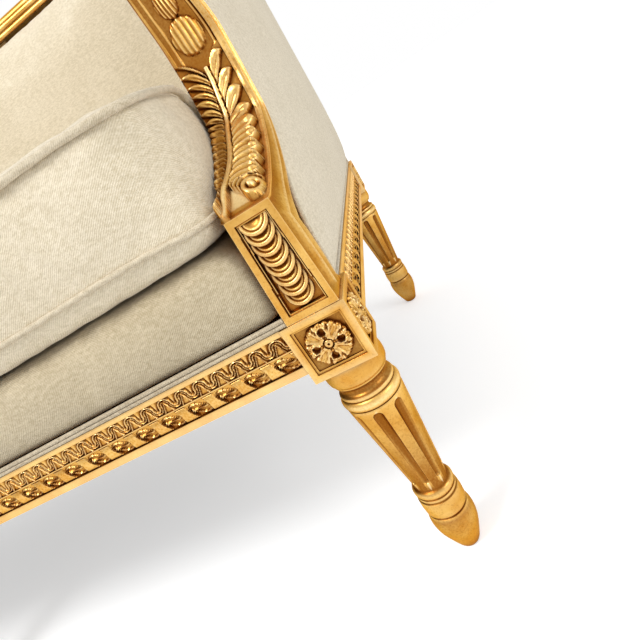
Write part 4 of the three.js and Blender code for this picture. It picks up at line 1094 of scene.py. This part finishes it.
def puffed(piece, voxel, swell, held):
    """Stuffs a piece. held(point), in millimetres, is true where stitching or a hard edge keeps the cloth."""
    take(piece)
    piece.data.transform(Matrix.Scale(MM, 4))
    apply_modifier(piece, "REMESH", mode="VOXEL", voxel_size=voxel * MM)
    flat = [vertex.co.copy() for vertex in piece.data.vertices]
    group = piece.vertex_groups.new(name="stitched")
    group.add([i for i, co in enumerate(flat) if held(co / MM)], 1, "REPLACE")
    cloth = piece.modifiers.new("Cloth", "CLOTH")
    cloth.settings.vertex_group_mass = "stitched"
    cloth.settings.use_pressure = True
    cloth.settings.uniform_pressure_force = cloth_pressure
    cloth.settings.effector_weights.gravity = 0
    cloth.settings.shrink_min = -cloth_slack
    cloth.point_cache.frame_start, cloth.point_cache.frame_end = 1, cloth_frames
    for step in range(1, cloth_frames + 1):
        bpy.context.scene.frame_set(step)
    blown = piece.evaluated_get(bpy.context.evaluated_depsgraph_get())
    moved = [vertex.co.copy() for vertex in blown.data.vertices]
    piece.modifiers.remove(cloth)
    piece.vertex_groups.clear()
    bpy.context.scene.frame_set(1)
    for vertex, start, end in zip(piece.data.vertices, flat, moved):
        step = end - start
        reach = swell * MM
        vertex.co = start + step * (reach / max(reach, step.length))
    apply_modifier(piece, "SUBSURF", levels=1, render_levels=1)
    return piece


def drawn_in(plan, draw, z):
    """A plan shrunk towards its middle by a distance, at a height."""
    xs, ys = [x for x, _ in plan], [y for _, y in plan]
    middle_x, middle_y = (max(xs) + min(xs)) / 2, (max(ys) + min(ys)) / 2
    scale_x, scale_y = 1 - 2 * draw / (max(xs) - min(xs)), 1 - 2 * draw / (max(ys) - min(ys))
    return [(middle_x + (x - middle_x) * scale_x, middle_y + (y - middle_y) * scale_y, z) for x, y in plan]


def corner(x, y, radius, start, steps=6):
    """Points round a quarter circle, with its start as a share of a half turn."""
    return [(x + radius * math.cos(math.pi * (start + k / (2 * steps))),
             y + radius * math.sin(math.pi * (start + k / (2 * steps)))) for k in range(steps + 1)]


# Loose seat cushion with short ears that fill the space beside the arm supports
pad_base = 47.8
member_front_y = rear_y - 40
web_space = 3.8
cushion_front = front_y + 6
cushion_rear = member_front_y - web_space - back_pad_crown - 4.5
cushion_ear = half_length - 57.5
cushion_side = half_length - 82.3
cushion_ear_clearance = 3
cushion_ear_slope_length = 34
cushion_corner_radius = 26
cushion_foot, low_welt_z, high_welt_z = 400.3, 426.3, 524
ear_rearmost = -212
ear_droop = 38
ear_droop_length = 55
# Stitching holds the cloth this far up and down from a seam, and this far in from it
seam_hold, seam_hold_reach = 5.5, 11
low_welt_radius, high_welt_radius = 2.6, 3.4
console_back = arm_points(stump_back_shares[:-1] + console_back_shares)
console_back = [through(console_back, k / 80) for k in range(81)]


def ear_rear_at(z):
    """Where an ear ends: just clear of the back of the arm support, which sweeps away as it climbs."""
    for here, there in zip(console_back, console_back[1:]):
        if here.z <= z <= there.z:
            y = between(here.y, there.y, (z - here.z) / (there.z - here.z))
            return min(y - cushion_ear_clearance, ear_rearmost)
    return console_back[0].y - cushion_ear_clearance


def cushion_plan(z, draw=0, steps=8):
    """Outline of the cushion at a height, drawn in by a distance, from its right front corner round."""
    ear, side = cushion_ear - draw, cushion_side - draw
    front, rear = cushion_front + draw, cushion_rear - draw
    ear_rear = min(max(ear_rear_at(z), front + 60), rear - 60)
    radius = cushion_corner_radius
    right = corner(ear - radius, front + radius, radius, -0.5, steps)
    right += [(ear, between(front + radius, ear_rear - 6, k / 8)) for k in range(1, 8)]
    for k in range(steps + 1):
        t = k / steps
        right.append((between(ear, side, smooth(t)), ear_rear - 6 + t * cushion_ear_slope_length))
    after = ear_rear - 6 + cushion_ear_slope_length
    right += [(side, between(after, rear - radius, k / 14)) for k in range(1, 14)]
    right += corner(side - radius, rear - radius, radius, 0, steps)
    middle = [(between(side - radius, radius - side, k / 40), rear) for k in range(1, 40)]
    left = [(-x, y) for x, y in reversed(right)]
    closing = [(between(radius - ear, ear - radius, k / 40), front) for k in range(1, 40)]
    return right + middle + left + closing


def seam_drop(x, y, z):
    """The upper seam falls in an arc at the end of each ear, and both sag a little at the front corners."""
    up = smooth((z - low_welt_z) / (high_welt_z - low_welt_z))
    inward = min(1, max(0, (ear_rearmost - y) / ear_droop_length))
    arc = 1 - math.sqrt(1 - (1 - inward) ** 3)
    beyond = smooth((abs(x) - cushion_side) / (cushion_ear - cushion_side - 4))
    reach = math.hypot(cushion_ear - abs(x), y - cushion_front)
    sag = 5 * math.exp(-(reach / 50) ** 2) * smooth((z - cushion_foot) / (low_welt_z - cushion_foot))
    return ear_droop * arc * beyond * up + sag


cushion_levels = [(60, 0), (16, 1.5), (6, 7), (1.6, 16), (0, 26)]
cushion_levels = [(draw, cushion_foot + rise) for draw, rise in cushion_levels]
cushion_levels += [(1.6, low_welt_z + 14), (3, low_welt_z + 43), (1.6, high_welt_z - 14), (0, high_welt_z)]
cushion_levels += [(draw, high_welt_z + rise) for draw, rise in ((7, 3), (26, 6), (70, 9), (150, 11))]
cushion_rows = [[(x, y, z - seam_drop(x, y, z)) for x, y in cushion_plan(z, draw)]
                for draw, z in cushion_levels]
cushion = lofted("loose_seat_cushion", cushion_rows)
seams = {z: [Vector((x, y, z - seam_drop(x, y, z))) for x, y in cushion_plan(z, -0.5, 12)]
         for z in (low_welt_z, high_welt_z)}


def on_cushion_seam(place):
    """True beside a seam and on the flat underside."""
    if place.z < cushion_foot + 2:
        return True
    drop = seam_drop(place.x, place.y, high_welt_z)
    low, high = abs(place.z - low_welt_z), abs(place.z - high_welt_z + drop)
    if min(low, high) > seam_hold:
        return False
    seam = seams[low_welt_z if low < high else high_welt_z]
    return min((point.x - place.x) ** 2 + (point.y - place.y) ** 2 for point in seam) < seam_hold_reach ** 2


puffed(cushion, 8, 10, on_cushion_seam)
dressed(cushion, cover_cloth, "cushion", ["seat_cushion"], angle=180)
for name, z, radius in (("low", low_welt_z, low_welt_radius), ("high", high_welt_z, high_welt_radius)):
    path = [(x, y, z - seam_drop(x, y, z)) for x, y in cushion_plan(z, -1, 12)]
    welt = swept(f"cushion_welt_{name}", path, radius, closed=True)
    finished(welt, welt_cloth, "cushion", angle=180)

# Stuffed deck on the springs, with a soft front edge over the gimp
deck_front = front_y + 4.5
deck_rear = member_front_y - web_space - 1
deck_side = half_length - 54
deck_foot = seat_top + 4.6
deck_corner = 16
deck_plan = []
for x, y, start in ((1, deck_front + deck_corner, -0.5), (1, deck_rear - deck_corner, 0),
                    (-1, deck_rear - deck_corner, 0.5), (-1, deck_front + deck_corner, 1)):
    deck_plan += corner(x * (deck_side - deck_corner), y, deck_corner, start)
deck_rows = [(1, deck_foot), (-1, deck_foot + 12), (-2, deck_foot + 34), (0, deck_foot + 52),
             (6, deck_foot + 66), (20, deck_foot + 73.5), (60, deck_height - 0.5)]
deck = lofted("stuffed_seat_deck", [drawn_in(deck_plan, draw, z) for draw, z in deck_rows])
puffed(deck, 9, 4, lambda place: (
    place.z < deck_foot + 7 or (place.z > deck_height - 6 and place.y > deck_front + 30)))
dressed(deck, deck_cloth_in_painted_shade, stands_for=["seat_deck"], angle=180)

# Gimp: two covered cords stitched side by side along the foot of the deck
gimp_reach = half_length - stump_inner[0] - gap
gimp_radius, gimp_spacing, gimp_setback = 2.1, 4.1, 2.6
cords = [swept(f"gimp_{k}", [(x, front_y + gimp_setback, seat_top + gap + gimp_radius + gimp_spacing * k)
                             for x in (-gimp_reach, 0, gimp_reach)], gimp_radius) for k in range(2)]
finished(joined("front_double_welt", cords), gimp_cloth, stands_for=["front_gimp"], angle=180)


def end_outline(end_height, bottom, rear_edge):
    """Outline of an end in Y and Z: behind the arm support, under the arm rail, before the leaning back."""
    back = arm_points(stump_back_shares[:-2] + console_back_shares)
    steps = [through(back, k / 40) for k in range(41)]
    under = arm_top - arm_rail_thickness - 1
    front = [(point.y + 1, point.z) for point in steps if bottom + 2 < point.z < under - 12]
    rear_level = end_height - crest_thickness - 1
    start = scroll_centre_y + scroll_radius + 4
    top = []
    for k in range(41):
        y = between(start, crest_front_y, k / 40)
        top.append((y, min(arm_top_at(y, end_height) - arm_rail_thickness - 1, rear_level)))
    top = [(y, z) for y, z in top if y < rear_edge(z) - 6]
    rear = [(rear_edge(rear_level), rear_level), (rear_edge(bottom), bottom)]
    return [(front[0][0], bottom), *front, *top, *rear]


def end_form(name, outline, rows):
    """A pad over an end outline. Each row is how far it is drawn in to the middle, and its inset."""
    spine_y = front_y + frame_depth * 0.56
    spine_z = (outline[0][1] + max(z for _, z in outline)) / 2
    return lofted(name, [[(-inset, between(y, spine_y, draw), between(z, spine_z, draw)) for y, z in outline]
                         for draw, inset in rows])


outside_rear = rear_y - 5
outside_edge_inset = 8
outside_bulge = 18
outside_welt_radius, outside_back_welt_radius = 2.2, 3.2


def outside_panel(name, outline, steps=44):
    """Cover strained over the outside of an end. It swells over the stuffing towards the upper rear."""
    low_z, high_z = outline[0][1], max(z for _, z in outline)
    rows = []
    for j in range(steps + 1):
        z = between(low_z, high_z - 0.01, j / steps)
        crossings = []
        for (y0, z0), (y1, z1) in zip(outline, outline[1:] + outline[:1]):
            if (z0 <= z) != (z1 <= z):
                crossings.append(between(y0, y1, (z - z0) / (z1 - z0)))
        first, last = min(crossings), max(crossings)
        row = []
        for i in range(steps + 1):
            y = between(first, last, i / steps)
            rail_foot = arm_top_at(max(y, scroll_centre_y), high_z + crest_thickness) - arm_rail_thickness
            under = min(high_z, rail_foot) - z
            full = (1 - math.exp(-max(0, y - first) / 34)) * (1 - math.exp(-max(0, last - y) / 22))
            full *= (1 - math.exp(-(z - low_z) / 30)) * (1 - math.exp(-max(0, under) / 30))
            full *= 0.45 + 0.55 * smooth((y + 190) / 330)
            row.append((outside_bulge * full - outside_edge_inset, y, z))
        rows.append(row)
    panel = facing(lofted(name, rows, closed=False), Vector((1, 0, 0)))
    apply_modifier(panel, "SOLIDIFY", thickness=5, offset=-1)
    return panel


for side, sign, end_height in (("right", 1, head_height), ("left", -1, foot_height)):
    mirror = Matrix.Translation((sign * half_length, 0, 0)) @ Matrix.Scale(sign, 4, (1, 0, 0))
    inside = end_outline(end_height, pad_bottom, lambda z: member_front_y - web_space + rake(z))
    pad = end_form(f"inside_pad_{side}", inside, [
        (0, pad_base), (0, pad_base + 7), (0.02, pad_base + 13), (0.07, pad_base + 18), (0.2, pad_base + 21),
        (0.5, pad_base + 22.5)])
    pad.data.transform(mirror)
    if sign < 0:
        pad.data.flip_normals()
    pad_face = sign * (half_length - pad_base - 6)
    puffed(pad, 8, 3.5, lambda place: abs(place.x) > abs(pad_face))
    dressed(pad, cover_cloth, stands_for=[f"inside_end_pad_{side}"], angle=180)

    outside = end_outline(end_height, seat_top + 1, lambda z: outside_rear + rake(z))
    panel = outside_panel(f"outside_panel_{side}", outside)
    panel.data.transform(mirror)
    if sign < 0:
        panel.data.flip_normals()
    finished(panel, cover_cloth, stands_for=[f"outside_end_{side}"], angle=60)
    edge = [(sign * (half_length - outside_edge_inset + 0.5), y, z) for y, z in outside]
    welt = swept(f"outside_welt_{side}", edge, outside_welt_radius, closed=True)
    finished(welt, welt_cloth, angle=180)


def back_outline(reach, bottom):
    xs = [between(reach, -reach, k / 60) for k in range(61)]
    top = [(x, crest_top(x) - crest_thickness - 1) for x in xs]
    return top + [(between(-reach, reach, k / 24), bottom) for k in range(25)]


def back_form(name, reach, bottom, rows):
    """A pad over the back: each row is how far it is drawn in to a long spine, and its depth."""
    outline = back_outline(reach, bottom)
    made = []
    for draw, y in rows:
        row = []
        for x, z in outline:
            keep = max(-reach * 0.6, min(reach * 0.6, x))
            middle = (bottom + crest_top(keep) - crest_thickness) / 2
            px, pz = between(x, keep, draw), between(z, middle, draw)
            row.append((px, y + rake(pz), pz))
        made.append(row)
    return lofted(name, made)


back_reach = half_length - pad_base - end_pad_crown - 1
back_base = member_front_y - web_space
back_pad = back_form("inside_back_pad_form", back_reach, pad_bottom, [
    (0, back_base), (0, back_base - 12), (0.02, back_base - 22), (0.08, back_base - 30),
    (0.25, back_base - 35), (0.6, back_base - 37)])
puffed(back_pad, 9, 12, lambda place: place.y - rake(place.z) > back_base - 8)
dressed(back_pad, cover_cloth, stands_for=["inside_back_pad"], angle=180)
outside_back_reach = half_length - 16
outside_back = back_form("outside_back_panel", outside_back_reach, seat_top + 1, [
    (0, outside_rear - 8), (0, outside_rear - 3), (0.02, outside_rear - 1), (0.1, outside_rear - 0.2),
    (0.5, outside_rear + 0.6), (0.9, outside_rear + 0.8)])
finished(outside_back, cover_cloth, stands_for=["outside_back"], angle=60)
edge = [(x, outside_rear - 1 + rake(z), z) for x, z in back_outline(outside_back_reach, seat_top + 1)]
welt = swept("outside_back_welt", edge, outside_back_welt_radius, closed=True)
finished(welt, welt_cloth, angle=180)

# Cambric stretched under the seat, cut round the blocks
cambric_edge = 12.4
cambric_x, cambric_y = half_length - cambric_edge, frame_depth / 2 - cambric_edge
sheet_rows = []
for j in range(47):
    y = between(-cambric_y, cambric_y, j / 46)
    sag = 3 * lobe(y / cambric_y)
    sheet_rows.append([(between(-cambric_x, cambric_x, i / 110), side_middle_y + y,
                        rail_bottom - 0.9 - sag * lobe(2 * i / 110 - 1)) for i in range(111)])
cambric = facing(lofted("cambric_dust_cover", sheet_rows, closed=False), Vector((0, 0, -1)))
editing(cambric)
room = block_size / 2 + 10
pick(cambric, lambda middle, normal: any(
    abs(middle.x - x) < room and abs(middle.y - y) < room for x, y in leg_places.values()))
bpy.ops.mesh.delete(type="FACE")
fresh()
finished(cambric, black_cambric, stands_for=["dust_cover"], angle=180)

# Framing that stays as the CAD made it
carried_finishes = {
    "seat_spring": spring_wire, "seat_stretcher": deep_beech, "corner_brace": deep_beech,
    "rear_post": upright_beech, "back_stile": upright_beech, "back_tack_rail": bare_beech,
    "end_tack_rail": deep_beech, "back_webbing": jute_web, "end_webbing": jute_web,
}
for name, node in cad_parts.items():
    for start, finish in carried_finishes.items():
        if name.startswith(start):
            node.data.materials.clear()
            node.data.materials.append(finish)

# Camera at the photograph's place
camera_place = (0.9260, -0.7145, 0.4507)
camera_turn, camera_dip, camera_roll = 17.487, 20.453, -33.740
camera_lens = 27.92
camera_data = bpy.data.cameras.new("camera")
camera_data.lens = camera_lens
camera_data.sensor_width = 36
camera_data.clip_start = 0.01
camera = bpy.data.objects.new("camera", camera_data)
bpy.context.scene.collection.objects.link(camera)
camera.matrix_world = (
    Matrix.Translation(camera_place) @ Matrix.Rotation(math.radians(camera_turn), 4, "Z")
    @ Matrix.Rotation(math.radians(90 - camera_dip), 4, "X")
    @ Matrix.Rotation(math.radians(camera_roll), 4, "Z"))
bpy.context.scene.camera = camera

# Studio: a pale floor that shows white to the camera and to gloss, and soft lamps
floor_size = 30
floor_lift = 0.45
world_strength = 0.62


def seen_directly(tree):
    """1 for what the camera, gloss or glass looks at, and 0 for light on the object."""
    rays = add(tree, "LightPath", out=None)
    seen = add(tree, "Math", {0: rays.outputs["Is Camera Ray"], 1: rays.outputs["Is Glossy Ray"]},
               operation="MAXIMUM")
    return add(tree, "Math", {0: seen, 1: rays.outputs["Is Transmission Ray"]}, operation="MAXIMUM")


def studio_floor():
    material, tree, shader = new_finish("pale_studio_floor")
    feed(tree, shader, {"Base Color": linear("F2F2F2"), "Roughness": 0.9})
    strength = add(tree, "Math", {0: seen_directly(tree), 1: floor_lift}, operation="MULTIPLY")
    lift = add(tree, "Emission", {"Color": linear("FFFFFF"), "Strength": strength})
    both = add(tree, "AddShader", {0: shader.outputs[0], 1: lift})
    tree.links.new(both, tree.nodes["Material Output"].inputs["Surface"])
    return material


fresh()
bpy.ops.mesh.primitive_plane_add(size=floor_size)
floor = bpy.context.object
floor.name = "studio_floor"
floor.data.materials.append(studio_floor())

world = bpy.data.worlds.new("studio")
bpy.context.scene.world = world
world.use_nodes = True
tree = world.node_tree
strength = add(tree, "MapRange", {0: seen_directly(tree), 3: world_strength, 4: 1})
feed(tree, tree.nodes["Background"], {"Color": linear("FFFFFF"), "Strength": strength})


def soft_lamp(name, place, target, size, watts):
    data = bpy.data.lights.new(name, "AREA")
    data.shape, data.size, data.energy = "DISK", size, watts
    lamp = bpy.data.objects.new(name, data)
    bpy.context.scene.collection.objects.link(lamp)
    lamp.location = place
    lamp.rotation_euler = (Vector(target) - Vector(place)).to_track_quat("-Z", "Y").to_euler()


soft_lamp("key_softbox", (-0.9, -1.9, 3.4), (0.3, 0, 0.3), 1.6, 92)
soft_lamp("fill_softbox", (3.4, -1.4, 1.6), (0.6, 0, 0.3), 1.8, 32)

bpy.context.scene.view_settings.view_transform = "Standard"
